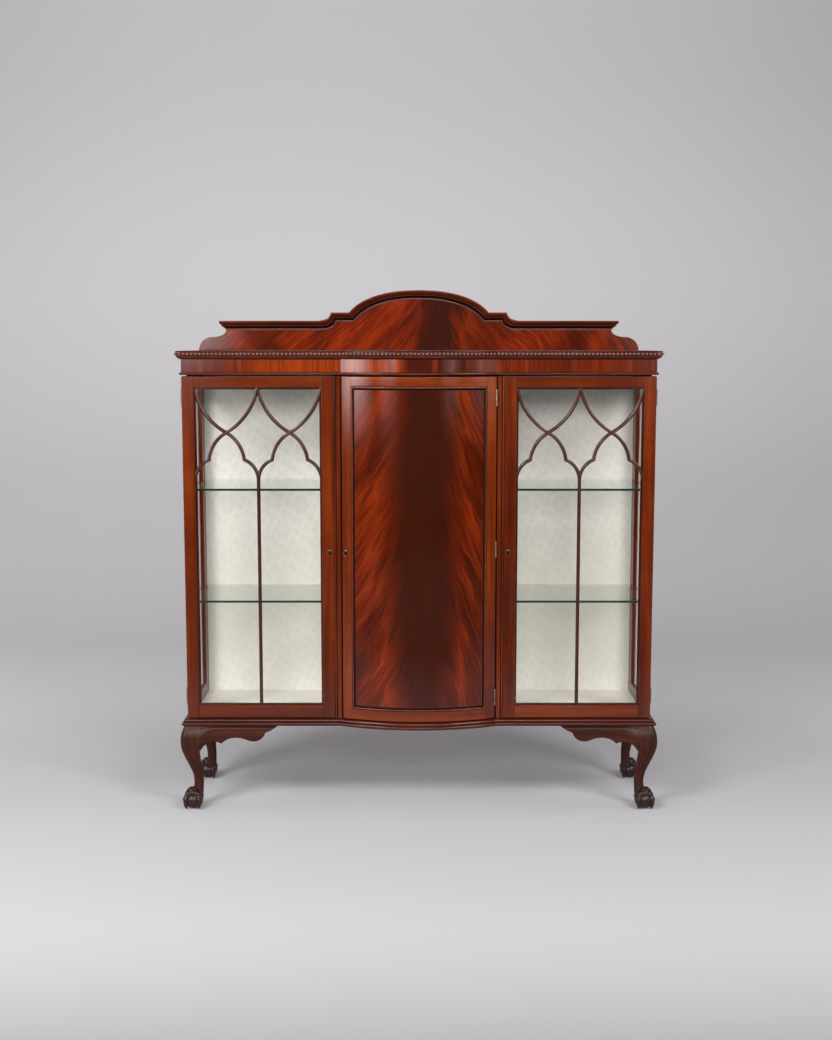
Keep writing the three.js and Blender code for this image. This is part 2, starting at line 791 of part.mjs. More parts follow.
// Levels of a leg from the floor up: height, how far its outer and inner faces stand out from
// the corner above it, and how square it is there.
function legLevels() {
  const along = (count, level) => Array.from({ length: count }, (_, i) => level((i + 1) / count));
  const ball = (part) => {
    const half = footRadius * (1 - Math.abs(part) ** ballRoundness) ** (1 / ballRoundness);
    const height = (footHeight / 2) * (1 + part / ballCut);
    return [height, footCentre + half, footCentre - half, ankleSquareness];
  };
  const [neckHeight, neckOut, neckIn] = ball(ballTop);
  const neck = (part) => [
    mix(neckHeight, ankleHeight, part), mix(ankleOut, neckOut, (1 - part) ** 2),
    mix(neckIn, ankleIn, part), ankleSquareness,
  ];
  const shank = (part) => [
    mix(ankleHeight, kneeHeight, part),
    mix(ankleOut, kneeOut, THREE.MathUtils.smoothstep(part, 0, 1)),
    mix(ankleIn, legPostIn, part) + shankHollow * Math.sin(Math.PI * part ** 2),
    mix(ankleSquareness, kneeSquareness, part ** 2),
  ];
  const post = (part) => [
    mix(kneeHeight, legHeight - fit, part), mix(kneeOut, legPostOut, part ** 2),
    legPostIn, postSquareness,
  ];
  return [
    ball(-ballCut), ...along(3, (part) => ball(mix(-ballCut, ballTop, part))),
    ...along(3, neck), ...along(5, shank), ...along(3, post),
  ];
}

// A leg under the corner at x and y; outX and outY are the signs that point out of the case.
function leg(x, y, outX, outY) {
  const sides = 16;
  return loft(legLevels().map(([z, out, inn, square]) => {
    const middle = (out + inn) / 2;
    const half = (out - inn) / 2;
    return Array.from({ length: sides }, (_, i) => {
      const turn = (2 * Math.PI * (i + 0.5)) / sides;
      const round = (value) => Math.sign(value) * Math.abs(value) ** (2 / square);
      return new THREE.Vector3(
        x + outX * middle + half * round(Math.cos(turn)),
        y + outY * middle + half * round(Math.sin(turn)),
        z,
      );
    });
  }));
}

function legPieces() {
  const rear = backY - backLegSetback;
  piece('leg_front_right', leg(halfCase, faceY, 1, -1), carved);
  piece('leg_front_left', leg(-halfCase, faceY, -1, -1), carved);
  piece('leg_back_right', leg(halfCase, rear, 1, 1), carved);
  piece('leg_back_left', leg(-halfCase, rear, -1, 1), carved);
}

// Lower outline of an apron's ear, from the leg to its point and hollow: across and down.
function earLine(hollow) {
  const tip = point(apronPoint, apronPointDrop);
  return [
    ...arc(point(0, apronEarDrop), point(apronNeck, apronNeckDrop), -earAngle, 5),
    ...arc(tip, hollow, -pointAngle, 6),
  ];
}

function frontApron() {
  const x = halfCase + legPostIn - fit;
  const hollow = point(apronHollow, apronHollowDrop);
  const belly = point(apronBelly, apronBellyDrop);
  const cusp = point(apronCusp, apronCuspDrop);
  const sway = new THREE.CubicBezierCurve(
    hollow, point(belly.x - bellySway, hollow.y), point(belly.x - bellySway, belly.y), belly,
  ).getPoints(6).slice(1);
  const rise = arc(belly, cusp, 0, 5).slice(1);
  const tail = arc(cusp, point(apronLength, 0), -cuspRise, 3).slice(1);
  const line = [point(0, 0), ...earLine(hollow), ...sway, ...rise, ...tail];
  const outline = line.map((p) => point(x - p.x, zBase - fit - p.y));
  return facing(outline, faceY - apronProud, faceY - apronProud + apronThickness);
}

function sideApron() {
  const y0 = faceY - legPostIn + fit;
  const y1 = backY - backLegSetback + legPostIn - fit;
  const middle = (y1 - y0) / 2;
  const half = earLine(point(middle, sideHollowDrop));
  const whole = [...half, ...half.slice(0, -1).reverse().map((p) => point(2 * middle - p.x, p.y))];
  const line = [point(0, 0), ...whole, point(2 * middle, 0)];
  const x1 = halfCase + apronProud;
  return sideways(line.map((p) => point(y0 + p.x, zBase - fit - p.y)), x1 - apronThickness, x1);
}

// ---------------------------------------------------------------- board and cap on top

// A line of the cap from its left tip to its right tip, across and up from the cornice: the
// top line lowered by drop, which draws the arch and the steps in towards the middle.
function capLine(drop, reach) {
  const steps = 14;
  const drawn = drop * capLean;
  const start = stepStart - drawn;
  const fall = (x) => 1 - (1 - (x / (archSpan - drawn)) ** archRoundness) ** (1 / archRoundness);
  const depth = (archHeight - stepTop) / fall(start);
  const crest = Array.from({ length: steps }, (_, i) => {
    const x = (start * (i + 1)) / steps;
    return point(x, archHeight - depth * fall(x));
  });
  const cove = quarter(
    point(stepEnd + stepCove - drawn, stepTop), point(-stepCove, 0), point(0, wingTop - stepTop), 5,
  );
  const half = [...crest, ...cove, point(reach, wingTop)];
  const whole = [...half.map((p) => point(-p.x, p.y)).reverse(), point(0, archHeight), ...half];
  return whole.map((p) => point(p.x, p.y - drop + zTop));
}

// A band of the cap: its height down from the top line, and how far it stands forward of the
// board and past the neck at each end.
function capBand(height, proud) {
  const reach = neckX + proud;
  const outline = [...capLine(0, reach), ...capLine(height, reach).reverse()];
  return facing(outline, backY - boardThickness - proud, backY);
}

function boardAndCap() {
  const cap = join(capBand(capHeight, capLowerProud), capBand(capUpperHeight, capProud));
  piece('pediment_cap', cap, mahogany);

  const seat = capLine(capHeight + fit, neckX);
  const neck = quarter(
    point(neckX + neckWidth, shoulderHeight + neckHeight), point(-neckWidth, 0), point(0, -neckHeight), 5,
  );
  const shoulder = quarter(
    point(shoulderReach - shoulderWidth, 0), point(0, shoulderHeight), point(shoulderWidth, 0), 6,
  );
  const end = [...neck, ...shoulder.slice(1, -1), point(shoulderReach, fit)]
    .map((p) => point(p.x, p.y + zTop));
  const outline = [...end.map((p) => point(-p.x, p.y)).reverse(), ...seat, ...end];
  piece('pediment_board', facing(outline, backY - boardThickness, backY), veneer);
}

// ---------------------------------------------------------------- assembly

const sideHinges = glazedDoorHinges();
const bowHinges = bowDoorHinges();
const sideLock = lockAt(glazedDoorEdge, faceY + doorThickness / 2, keyholeInset, faceY - lap);
const bowLock = lockAt(-bowDoorEdge, faceY + bowLockSetback, bowKeyholeInset, faceY - bowRise);

carcassPieces();
friezePiece();
cornicePiece();
sidePieces(sideHinges);
partitionPieces(bowHinges, sideLock, bowLock);
displayPieces();
glazedDoorPieces(sideHinges, sideLock);
bowDoorPieces(bowHinges, bowLock);
legPieces();
pair('apron_front', frontApron(), carved);
pair('apron_side', sideApron(), carved);
boardAndCap();

export default cabinet;
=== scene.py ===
"""A bow-fronted china cabinet in figured mahogany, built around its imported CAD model.

Metres, +Z up, the doors facing -Y. Every place comes from the boxes of the CAD nodes and the
sizes named below.
"""

import math
import random
from math import asin, cos, hypot, pi, radians, sin, sqrt

import bmesh
import bpy
import numpy as np
from mathutils import Matrix, Vector
from numpy import linspace

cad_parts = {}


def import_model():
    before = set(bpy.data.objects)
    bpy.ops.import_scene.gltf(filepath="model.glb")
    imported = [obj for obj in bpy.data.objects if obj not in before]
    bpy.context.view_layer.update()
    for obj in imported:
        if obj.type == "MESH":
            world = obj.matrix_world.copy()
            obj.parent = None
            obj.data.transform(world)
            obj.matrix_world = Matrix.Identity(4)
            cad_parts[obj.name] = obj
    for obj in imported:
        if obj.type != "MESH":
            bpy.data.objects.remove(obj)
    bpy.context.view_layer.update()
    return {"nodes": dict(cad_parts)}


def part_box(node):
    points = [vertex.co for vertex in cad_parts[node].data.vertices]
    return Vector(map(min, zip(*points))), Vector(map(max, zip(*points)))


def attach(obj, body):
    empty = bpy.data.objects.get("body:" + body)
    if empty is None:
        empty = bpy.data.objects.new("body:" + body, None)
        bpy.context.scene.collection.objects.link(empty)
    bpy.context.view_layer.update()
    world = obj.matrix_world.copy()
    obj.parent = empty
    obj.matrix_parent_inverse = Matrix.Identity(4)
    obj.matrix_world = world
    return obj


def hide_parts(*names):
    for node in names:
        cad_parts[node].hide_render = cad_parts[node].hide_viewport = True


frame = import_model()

MM = 0.001
SIDES = ((1, "right"), (-1, "left"))

# ---------------- places from the CAD model


def low(node):
    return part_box(node)[0]


def high(node):
    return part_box(node)[1]


HALF_CASE = high("side_frame_right").x
SIDE_INNER = low("side_frame_right").x
SIDE_FRONT = low("side_frame_right").y
FACE_Y = low("door_frame_right").y
BACK_Y = high("back_board").y
BOW_RISE = FACE_Y - low("frieze").y
HALF_CUPBOARD = low("partition_right").x
PARTITION_OUTER = high("partition_right").x
BOW_MARGIN = 3 * MM
BOW_HALF = HALF_CUPBOARD + BOW_MARGIN
BOW_RADIUS = (BOW_HALF**2 + BOW_RISE**2) / (2 * BOW_RISE)
BOW_CENTRE = FACE_Y - BOW_RISE + BOW_RADIUS

BASE_LOW = low("base_board").z
BEAD_LOW = low("carcass_top").z
CORNICE_LOW, CORNICE_TOP = low("cornice").z, high("cornice").z
TOP = high("pediment_cap").z
DOOR_LOW, DOOR_TOP = low("door_frame_right").z, high("door_frame_right").z

FIT = 0.3 * MM
DOOR_GAP = 1 * MM

# Glazed doors and their panes: left and right, low and high
STILE = 31 * MM
TOP_RAIL = 28 * MM
FOOT_RAIL = 32 * MM
LOCK_X = low("door_frame_right").x
DOOR_THICK = high("door_frame_right").y - FACE_Y
PANE = (LOCK_X + STILE, HALF_CASE - STILE, DOOR_LOW + FOOT_RAIL, DOOR_TOP - TOP_RAIL)
GROOVE = 6 * MM
PANE_BACK = (low("door_glass_right").y - FACE_Y, high("door_glass_right").y - FACE_Y)

# Bowed door
BOW_DOOR_EDGE = high("door_frame_centre").x
BOW_THICK = 22 * MM
BOW_STILE = 23 * MM
BOW_TOP_RAIL = 24 * MM
BOW_FOOT_RAIL = 26 * MM
PANEL_MOULDING = 10 * MM
PANEL_SINK = 6 * MM
PANEL_THICK = 8 * MM
BOW_STEP = 4 * MM

# Locks: a face plate let into the door's edge, a body behind it and a keyhole
KEY_Z = (low("keyhole_plate_right").z + high("keyhole_plate_right").z) / 2 + 2 * MM
KEY_BARREL, KEY_SLOT, KEY_DROP = 2.2, 1.0, 7.0  # mm
BOW_KEY_X = -BOW_DOOR_EDGE + 8 * MM
LOCK_BODY = (KEY_Z - 18.4 * MM, KEY_Z + 26.4 * MM)
LOCK_DEPTH = 22 * MM
KEY_IN = 11 * MM
BOLT_HOLE = (KEY_Z + 9.4 * MM, KEY_Z + 20.6 * MM)

# ---------------- grain
#
# Every wooden vertex carries where it lies in its board: along the grain, across it and
# through it, in metres, shifted so that no two boards are cut from the same wood.


def along_x(co):
    return co[:, [0, 2, 1]]


def along_y(co):
    return co[:, [1, 2, 0]]


def along_z(co):
    return co[:, [2, 0, 1]]


def unbent(co):
    """Where a bent point lay before bending: along the bow, behind the face and up."""
    turn = np.arctan2(co[:, 0], BOW_CENTRE - co[:, 1])
    depth = BOW_RADIUS - np.hypot(co[:, 0], BOW_CENTRE - co[:, 1])
    return np.stack([turn * BOW_RADIUS, depth, co[:, 2]], 1)


def along_bow(co):
    return along_x(unbent(co))


def up_bow(co):
    return along_z(unbent(co))


def round_case(co):
    """Along the front and on along the sides."""
    x, y = co[:, 0], co[:, 1]
    side = np.abs(x) > HALF_CASE - 1 * MM
    run = np.where(side, np.sign(x) * (HALF_CASE + np.maximum(y - FACE_Y, 0)), x)
    return np.stack([run, co[:, 2], y], 1)


def up_case(co):
    """Cross-cut veneer: the grain stands up, and runs on round the corners."""
    return round_case(co)[:, [1, 0, 2]]


# ---------------- pieces


def make(name, verts, faces):
    """A mesh object that is still to be cut or dressed."""
    mesh = bpy.data.meshes.new(name)
    mesh.from_pydata([tuple(v) for v in verts], [], [tuple(f) for f in faces])
    obj = bpy.data.objects.new(name, mesh)
    bpy.context.scene.collection.objects.link(obj)
    bm = bmesh.new()
    bm.from_mesh(mesh)
    bmesh.ops.remove_doubles(bm, verts=bm.verts, dist=1e-6)
    bmesh.ops.dissolve_degenerate(bm, edges=bm.edges, dist=1e-7)
    bmesh.ops.recalc_face_normals(bm, faces=bm.faces)
    bm.to_mesh(mesh)
    bm.free()
    return obj


def dress(obj, body, slot, material, grain=None, node=None, angle=35):
    """Gives a mesh its shading, material, grain and body, and hides the CAD node it replaces. Slot is not
    used.
    """
    mesh = obj.data
    mesh.shade_smooth()
    mesh.set_sharp_from_angle(angle=radians(angle))
    if angle < 180:
        obj.modifiers.new("flats", "WEIGHTED_NORMAL").keep_sharp = True
    mesh.materials.clear()
    mesh.materials.append(material)
    if grain:
        write_grain(obj, grain)
    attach(obj, body)
    if node:
        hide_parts(node)
    return obj


def piece(name, shape, *finish, cutters=(), **more):
    """A finished piece from the verts and faces of its shape, with the cutters taken out."""
    obj = make(name, *shape)
    if cutters:
        carve(obj, cutters)
    return dress(obj, *finish, **more)


def touch(obj, material, chosen):
    """Gives the chosen faces another material."""
    obj.data.materials.append(material)
    index = len(obj.data.materials) - 1
    for face in obj.data.polygons:
        if chosen(face):
            face.material_index = index


def write_grain(obj, grain):
    mesh = obj.data
    co = np.empty(len(mesh.vertices) * 3)
    mesh.vertices.foreach_get("co", co)
    shift = random.Random(obj.name)
    lay = grain(co.reshape(-1, 3)) + [shift.uniform(0, 9) for _ in range(3)]
    attribute = mesh.attributes.new("grain", "FLOAT_VECTOR", "POINT")
    attribute.data.foreach_set("vector", lay.astype(np.float32).ravel())


def carve(obj, tools, operation="DIFFERENCE"):
    """Cuts the tools' shapes out of a piece, or with INTERSECT keeps what lies inside them."""
    tool = make("cutter", *joined(*tools))
    modifier = obj.modifiers.new("carve", "BOOLEAN")
    modifier.operation = operation
    modifier.solver = "EXACT"
    modifier.use_self = operation == "INTERSECT"
    modifier.object = tool
    bake_modifiers(obj)
    bpy.data.objects.remove(tool)


def bake_modifiers(obj):
    depsgraph = bpy.context.evaluated_depsgraph_get()
    depsgraph.update()
    final = bpy.data.meshes.new_from_object(obj.evaluated_get(depsgraph))
    obj.modifiers.clear()
    obj.data = final


# ---------------- shapes


def block(a, b):
    """A box between two opposite corners."""
    (x0, x1), (y0, y1), (z0, z1) = (sorted(pair) for pair in zip(a, b))
    verts = [(x, y, z) for x in (x0, x1) for y in (y0, y1) for z in (z0, z1)]
    faces = [(0, 1, 3, 2), (4, 6, 7, 5), (0, 4, 5, 1), (2, 3, 7, 6), (0, 2, 6, 4), (1, 5, 7, 3)]
    return verts, faces


def loft(loops, around=False):
    """Closed loops of equal length joined in turn, with lids, or round to the first again."""
    verts = [tuple(p) for loop in loops for p in loop]
    count, rows = len(loops[0]), len(loops)
    faces = []
    for row in range(rows if around else rows - 1):
        a, b = row * count, ((row + 1) % rows) * count
        for i in range(count):
            j = (i + 1) % count
            faces.append((a + i, a + j, b + j, b + i))
    if not around:
        faces.append(tuple(range(count))[::-1])
        faces.append(tuple(range((rows - 1) * count, rows * count)))
    return verts, faces


def sheet_faces(rows, count):
    """Faces of an open grid with count points in each of its rows."""
    corners = [r * count + i for r in range(rows - 1) for i in range(count - 1)]
    return [(k, k + 1, k + count + 1, k + count) for k in corners]


def joined(*parts):
    verts, faces = [], []
    for v, f in parts:
        faces += [tuple(i + len(verts) for i in face) for face in f]
        verts += [tuple(p) for p in v]
    return verts, faces


def placed(shape, place):
    """The shape with each vertex moved to where place puts it."""
    return [place(*v) for v in shape[0]], shape[1]


def circle(count):
    return linspace(0, 2 * pi, count, endpoint=False)


def lathe(spans, count, axis=lambda u, v, h: (u, v, h)):
    """Rings of (radius, height) about an upright axis, or as axis turns it."""
    return loft([[axis(r * cos(t), r * sin(t), h) for t in circle(count)] for r, h in spans])


def rounded_block(u0, v0, u1, v1, radius, steps=3):
    """The outline of a rectangle with each corner rounded off."""
    outline = [np.array(p, float) for p in ((u0, v0), (u1, v0), (u1, v1), (u0, v1))]
    result = []
    for i, corner in enumerate(outline):
        before, after = outline[i - 1] - corner, outline[(i + 1) % len(outline)] - corner
        reach = min(radius, 0.45 * np.linalg.norm(before), 0.45 * np.linalg.norm(after))
        a = corner + before / np.linalg.norm(before) * reach
        b = corner + after / np.linalg.norm(after) * reach
        for t in linspace(0, 1, steps + 1):
            result.append((1 - t) ** 2 * a + 2 * t * (1 - t) * corner + t**2 * b)
    return result


def spaced(outline, step):
    """The outline with points added so that no side is longer than step."""
    result = []
    for i, p in enumerate(outline):
        q = outline[(i + 1) % len(outline)]
        count = max(1, math.ceil(math.dist(p, q) / step))
        result += [tuple(np.array(p) + (np.array(q) - p) * t / count) for t in range(count)]
    return result


def sweep(section, stations, place):
    """A section of (u, v) points carried along stations t; place says where (t, u, v) is."""
    return loft([[place(t, u, v) for u, v in section] for t in stations])


def bow_y(x, out=0.0):
    return BOW_CENTRE - sqrt((BOW_RADIUS + out) ** 2 - x**2)


def plan(out, rear=BACK_Y, side_steps=1, flat_steps=1, bow_steps=72):
    """The plan of the case grown by out at the front and sides, from rear left to rear right."""
    side, front, radius = HALF_CASE + out, FACE_Y - out, BOW_RADIUS + out
    meet = sqrt(BOW_RISE * (2 * radius - BOW_RISE))
    left = [(-side, y) for y in linspace(rear, front, side_steps + 1)]
    left += [(x, front) for x in linspace(-side, -meet, flat_steps + 1)[1:]]
    for t in linspace(-asin(meet / radius), 0, bow_steps // 2 + 1)[1:]:
        left.append((radius * sin(t), bow_y(radius * sin(t), out)))
    return left + [(-x, y) for x, y in left[-2::-1]]


def arc(start, end, degrees, steps):
    """An arc from start to end that leaves start in a direction given in degrees."""
    start, end = np.array(start, float), np.array(end, float)
    chord = end - start
    leaving = radians(degrees)
    half = asin(sin(math.atan2(chord[1], chord[0]) - leaving))
    result = []
    for t in (half * i / steps for i in range(steps + 1)):
        along = np.array([cos(leaving + t), sin(leaving + t)])
        result.append(start + np.linalg.norm(chord) * sin(t) / sin(half) * along)
    return result


def quarter(centre, first, second, steps):
    """A quarter of an ellipse from centre + first to centre + second."""
    centre, first, second = (np.array(p, float) for p in (centre, first, second))
    turns = linspace(0, pi / 2, steps + 1)
    return [centre + first * cos(t) + second * sin(t) for t in turns]


def mix(a, b, t):
    return a + (b - a) * t


def smooth(t):
    t = np.clip(t, 0, 1)
    return t * t * (3 - 2 * t)


# ---------------- materials


class Value:
    """An output in a node tree; sums and products of values become Math nodes."""

    def __init__(self, nodes, socket):
        self.nodes = nodes
        self.socket = socket

    def __add__(self, other):
        return self.nodes.math("ADD", self, other)

    def __sub__(self, other):
        return self.nodes.math("SUBTRACT", self, other)

    def __rsub__(self, other):
        return self.nodes.math("SUBTRACT", other, self)

    def __mul__(self, other):
        return self.nodes.math("MULTIPLY", self, other)

    def __truediv__(self, other):
        return self.nodes.math("DIVIDE", self, other)

    def __abs__(self):
        return self.nodes.math("ABSOLUTE", self)

    def fade(self, start, end, to=(0.0, 1.0)):
        """The value read smoothly from start..end as to[0]..to[1]."""
        inputs = {"Value": self, "From Min": start, "From Max": end, "To Min": to[0], "To Max": to[1]}
        return self.nodes.value(
            "Result", "ShaderNodeMapRange", inputs, interpolation_type="SMOOTHSTEP"
        )


class Nodes:
    """A node tree, written as short calls."""

    def __init__(self, tree):
        self.tree = tree

    def node(self, kind, inputs=None, **settings):
        """A node with its settings; an input takes a value of the tree or a plain number."""
        node = self.tree.nodes.new(kind)
        for key, value in settings.items():
            setattr(node, key, value)
        for key, value in (inputs or {}).items():
            if isinstance(value, Value):
                self.tree.links.new(value.socket, node.inputs[key])
            else:
                node.inputs[key].default_value = value
        return node

    def value(self, output, kind, inputs=None, **settings):
        return Value(self, self.node(kind, inputs, **settings).outputs[output])

    def math(self, operation, *values):
        return self.value("Value", "ShaderNodeMath", dict(enumerate(values)), operation=operation)

    def larger(self, a, b):
        return self.math("MAXIMUM", a, b)

    def parts(self, vector):
        outputs = self.node("ShaderNodeSeparateXYZ", {"Vector": vector}).outputs
        return [Value(self, socket) for socket in outputs]

    def vector(self, x, y, z=0.0):
        return self.value("Vector", "ShaderNodeCombineXYZ", {0: x, 1: y, 2: z})


class Paint(Nodes):
    """A material's node tree."""

    def __init__(self, name):
        self.material = bpy.data.materials.new(name)
        self.material.use_nodes = True
        super().__init__(self.material.node_tree)
        self.tree.nodes.clear()

    def grain(self):
        return self.value("Vector", "ShaderNodeAttribute", attribute_name="grain")

    def place(self):
        return self.value("Object", "ShaderNodeTexCoord")

    def xyz(self):
        return self.parts(self.place())

    def noise(self, vector, scale, detail=2, rough=0.5, bend=0.0):
        """Noise from 0 to 1, over a vector whose axes are scaled first."""
        mapped = self.value("Vector", "ShaderNodeMapping", {"Vector": vector, "Scale": scale})
        inputs = {"Vector": mapped, "Scale": 1, "Detail": detail, "Roughness": rough, "Distortion": bend}
        return self.value("Fac", "ShaderNodeTexNoise", inputs)

    def ramp(self, value, stops):
        node = self.node("ShaderNodeValToRGB", {"Fac": value})
        elements = node.color_ramp.elements
        for i, (place, colour) in enumerate(stops):
            element = elements[i] if i < 2 else elements.new(place)
            element.position = place
            element.color = (*colour, 1)
        return Value(self, node.outputs["Color"])

    def blend(self, share, a, b):
        """Colour a turning into b as share goes from 0 to 1."""
        a, b = ((*colour, 1) if isinstance(colour, tuple) else colour for colour in (a, b))
        return self.value(2, "ShaderNodeMix", {0: share, 6: a, 7: b}, data_type="RGBA")

    def surface(self, shader):
        self.node("ShaderNodeOutputMaterial", {"Surface": shader})
        return self.material

    def shaded(self, inputs, height=None, depth=0.0):
        """The finished material, with a bump where a height is given."""
        if height:
            bump = {"Height": height, "Strength": 1.0, "Distance": depth}
            inputs["Normal"] = self.value("Normal", "ShaderNodeBump", bump)
        return self.surface(self.value("BSDF", "ShaderNodeBsdfPrincipled", inputs))


def srgb(r, g, b):
    """A colour written as it looks on a screen, 0 to 255."""
    return tuple(
        (v / 255 / 12.92) if v <= 10.3 else ((v / 255 + 0.055) / 1.055) ** 2.4 for v in (r, g, b)
    )


def polished(
    paint, colour, lay, coat=0.64, coat_rough=0.06, rough=(0.34, 0.46), depth=0.00004, specular=0.02
):
    """French polish over wood: open pores, fine fibres and a clear coat. Lay is the grain."""
    fibre = paint.noise(lay, (14, 620, 620))
    pore = paint.noise(lay, (60, 1500, 1500), detail=1).fade(0.62, 0.74)
    colour = paint.blend(pore * 0.5, colour, srgb(32, 9, 2))
    colour = paint.blend(fibre.fade(0.35, 0.7, (0.0, 0.28)), colour, srgb(60, 17, 3))
    inputs = {
        "Base Color": colour, "Roughness": fibre.fade(0.3, 0.7, rough), "Coat Weight": coat,
        "Coat Roughness": coat_rough, "IOR": 1.5, "Specular IOR Level": specular,
    }
    return paint.shaded(inputs, pore * -0.8 + fibre * 0.35, depth)


def plain_wood(name, dark, middle, light, bands=55, **finish):
    """Straight-grained mahogany with ribbon stripes, slow changes of tone and painted light: lighter higher
    up, darker towards the floor.
    """
    paint = Paint(name)
    lay = paint.grain()
    slow = paint.noise(lay, (1.8, 12, 12))
    band = paint.noise(lay, (2.6, bands, bands), detail=3, bend=0.4)
    ripple = paint.noise(lay, (22, 9, 9), detail=1)
    z = paint.xyz()[2]
    # The height term paints light into the tone: the wood is drawn lighter higher up and darker low down.
    tone = slow * 0.45 + band * 0.5 + ripple * 0.12 + z.fade(0.2, 1.2, (-0.045, 0.05))
    colour = paint.ramp(tone, [(0.34, dark), (0.54, middle), (0.72, light)])
    return polished(paint, colour, lay, **finish)


def shelf_wood():
    """Pale wood for the kept cupboard shelves, its grain along X."""
    paint = Paint("shelf_wood")
    lay = paint.place()
    band = paint.noise(lay, (2.4, 60, 60), detail=3, bend=0.4)
    tone = band * 0.55 + paint.noise(lay, (2, 8, 8)) * 0.45
    dark, middle, light = srgb(104, 60, 36), srgb(134, 82, 50), srgb(158, 102, 66)
    colour = paint.ramp(tone, [(0.36, dark), (0.52, middle), (0.68, light)])
    return polished(paint, colour, lay, coat=0.1, coat_rough=0.35, rough=(0.45, 0.6), specular=0.3)


def carved_nosing():
    """Carved wood, dark in its hollows and pale on its tops: gathered wax and wear, with painted shade in
    the hollows and a painted highlight on the tops.
    """
    paint = Paint("carved_nosing")
    lay = paint.grain()
    relief = paint.value("Fac", "ShaderNodeAttribute", attribute_name="relief")
    relief = relief + (paint.noise(lay, (30, 60, 60)) * 0.4 - 0.2)
    hollow_wax_and_shade, wood, rubbed_and_highlight = srgb(30, 10, 6), srgb(88, 36, 22), srgb(150, 90, 66)
    # The colours by relief paint shade into the hollows and a highlight onto the tops, over real wax and
    # wear.
    colour = paint.ramp(relief, [(0.1, hollow_wax_and_shade), (0.5, wood), (0.9, rubbed_and_highlight)])
    return polished(paint, colour, lay, coat=1.0, coat_rough=0.22)


def frieze_veneer():
    """Cross-cut veneer: upright streaks in broad dark and bright leaves."""
    paint = Paint("frieze_veneer")
    lay = paint.grain()
    across = paint.xyz()[0]
    wander = paint.noise(lay, (6, 26, 3), detail=3)
    leaf = across * (1 / (2 * HALF_CASE)) + 0.5 + (wander * 0.05 - 0.025)
    heart, dark, red, bright = srgb(62, 14, 3), srgb(84, 23, 4), srgb(108, 34, 5), srgb(138, 50, 8)
    colour = paint.ramp(leaf, [
        (0.08, dark), (0.2, bright), (0.45, bright), (0.49, heart), (0.58, heart), (0.7, red),
        (0.81, dark), (0.88, red), (0.97, dark),
    ])
    streak = paint.noise(lay, (3, 130, 3), detail=3)
    colour = paint.blend(streak.fade(0.42, 0.68, (0.0, 0.55)), colour, srgb(66, 16, 6))
    light = paint.noise(lay, (5, 42, 4))
    colour = paint.blend(light.fade(0.52, 0.7, (0.0, 0.3)), colour, srgb(155, 64, 21))
    return polished(paint, colour, lay)


def flame(paint, stem, width, slopes, colours, patch=None, edge=0.022):
    """Crotch veneer: a dark upright stem with feathers that fall away on both sides.

    Stem and width are the middle and half-width of the dark heart, and slopes how steeply the
    feathers fall on its left and right. Patch is a share of dark wood over the feathers, and
    edge how softly the heart ends.
    """
    heart, dark, red, bright = colours
    x, _, z = paint.xyz()
    board = paint.vector(x, z)
    drift = paint.noise(board, (5, 4, 1), detail=3)
    offset = x - stem + (drift * 0.05 - 0.025)
    side = offset.fade(-0.012, 0.012)
    far = abs(offset)
    fall = side * (slopes[1] - slopes[0]) + slopes[0]
    rise = paint.math("POWER", far, 0.72) * fall + z + drift * 0.09
    feathers = paint.vector(rise, far, side * 3.7)
    coarse = paint.noise(feathers, (9, 9, 1), bend=0.3)
    middle = paint.noise(feathers, (34, 13, 1), detail=3, bend=0.2)
    fine = paint.noise(feathers, (170, 22, 1), detail=3)
    glow = paint.larger(1.0 - abs((far - width) * 22.0 - 0.9), 0.0) * coarse.fade(0.4, 0.6)
    tone = coarse * 0.36 + middle * 0.3 + fine * 0.34 + glow * 0.09
    deep = tuple(v * 0.55 for v in dark)
    colour = paint.ramp(tone, [(0.35, deep), (0.42, dark), (0.52, red), (0.64, bright)])
    if patch:
        colour = paint.blend(patch, colour, deep)
    ragged = far + (tone * -0.26 + 0.13) + (fine * 0.06 - 0.03)
    line = paint.noise(board, (260, 4, 1), detail=3)
    cloud = paint.noise(board, (16, 5, 1))
    heart = paint.blend(line.fade(0.42, 0.72, (0.0, 0.4)), heart, dark)
    heart = paint.blend(cloud.fade(0.45, 0.7, (0.0, 0.5)), heart, dark)
    colour = paint.blend((ragged - width).fade(-edge, edge), heart, colour)
    return polished(paint, colour, paint.grain())


def panel_veneer():
    """The bowed door: the heart is broadest just above half height."""
    paint = Paint("flame_veneer")
    z = paint.xyz()[2]
    middle, half = (DOOR_LOW + DOOR_TOP) / 2, (DOOR_TOP - DOOR_LOW) / 2
    up = (z - (middle + 0.02)) / half
    width = (1.0 - up * up) * 0.034 + 0.042
    colours = (srgb(46, 14, 4), srgb(60, 15, 2), srgb(86, 23, 3), srgb(122, 40, 6))
    return flame(paint, 0.012, width, (1.25, 2.0), colours)


def crest_veneer():
    """The board on top: a bright crown, a dark stem right of its middle, dark patches beside."""
    paint = Paint("crest_veneer")
    x, _, z = paint.xyz()
    lean = 0.6
    from_end = abs(z * -lean + abs(x) - (0.415 - lean * CORNICE_TOP))
    beside = abs(x - 0.16)
    patch = paint.larger(from_end.fade(0.075, 0.015, (0.0, 0.7)), beside.fade(0.1, 0.03, (0.0, 0.5)))
    below = TOP - z
    stem, width = below * -0.12 + 0.0535, below * -0.1 + 0.054
    colours = (srgb(44, 13, 4), srgb(76, 18, 2), srgb(112, 29, 2), srgb(144, 46, 4))
    return flame(paint, stem, width, (0.95, 1.1), colours, patch, 0.014)


REPEAT_X, REPEAT_Z = 0.104, 0.142
THREAD_X, THREAD_Z = 0.0011, 0.0009


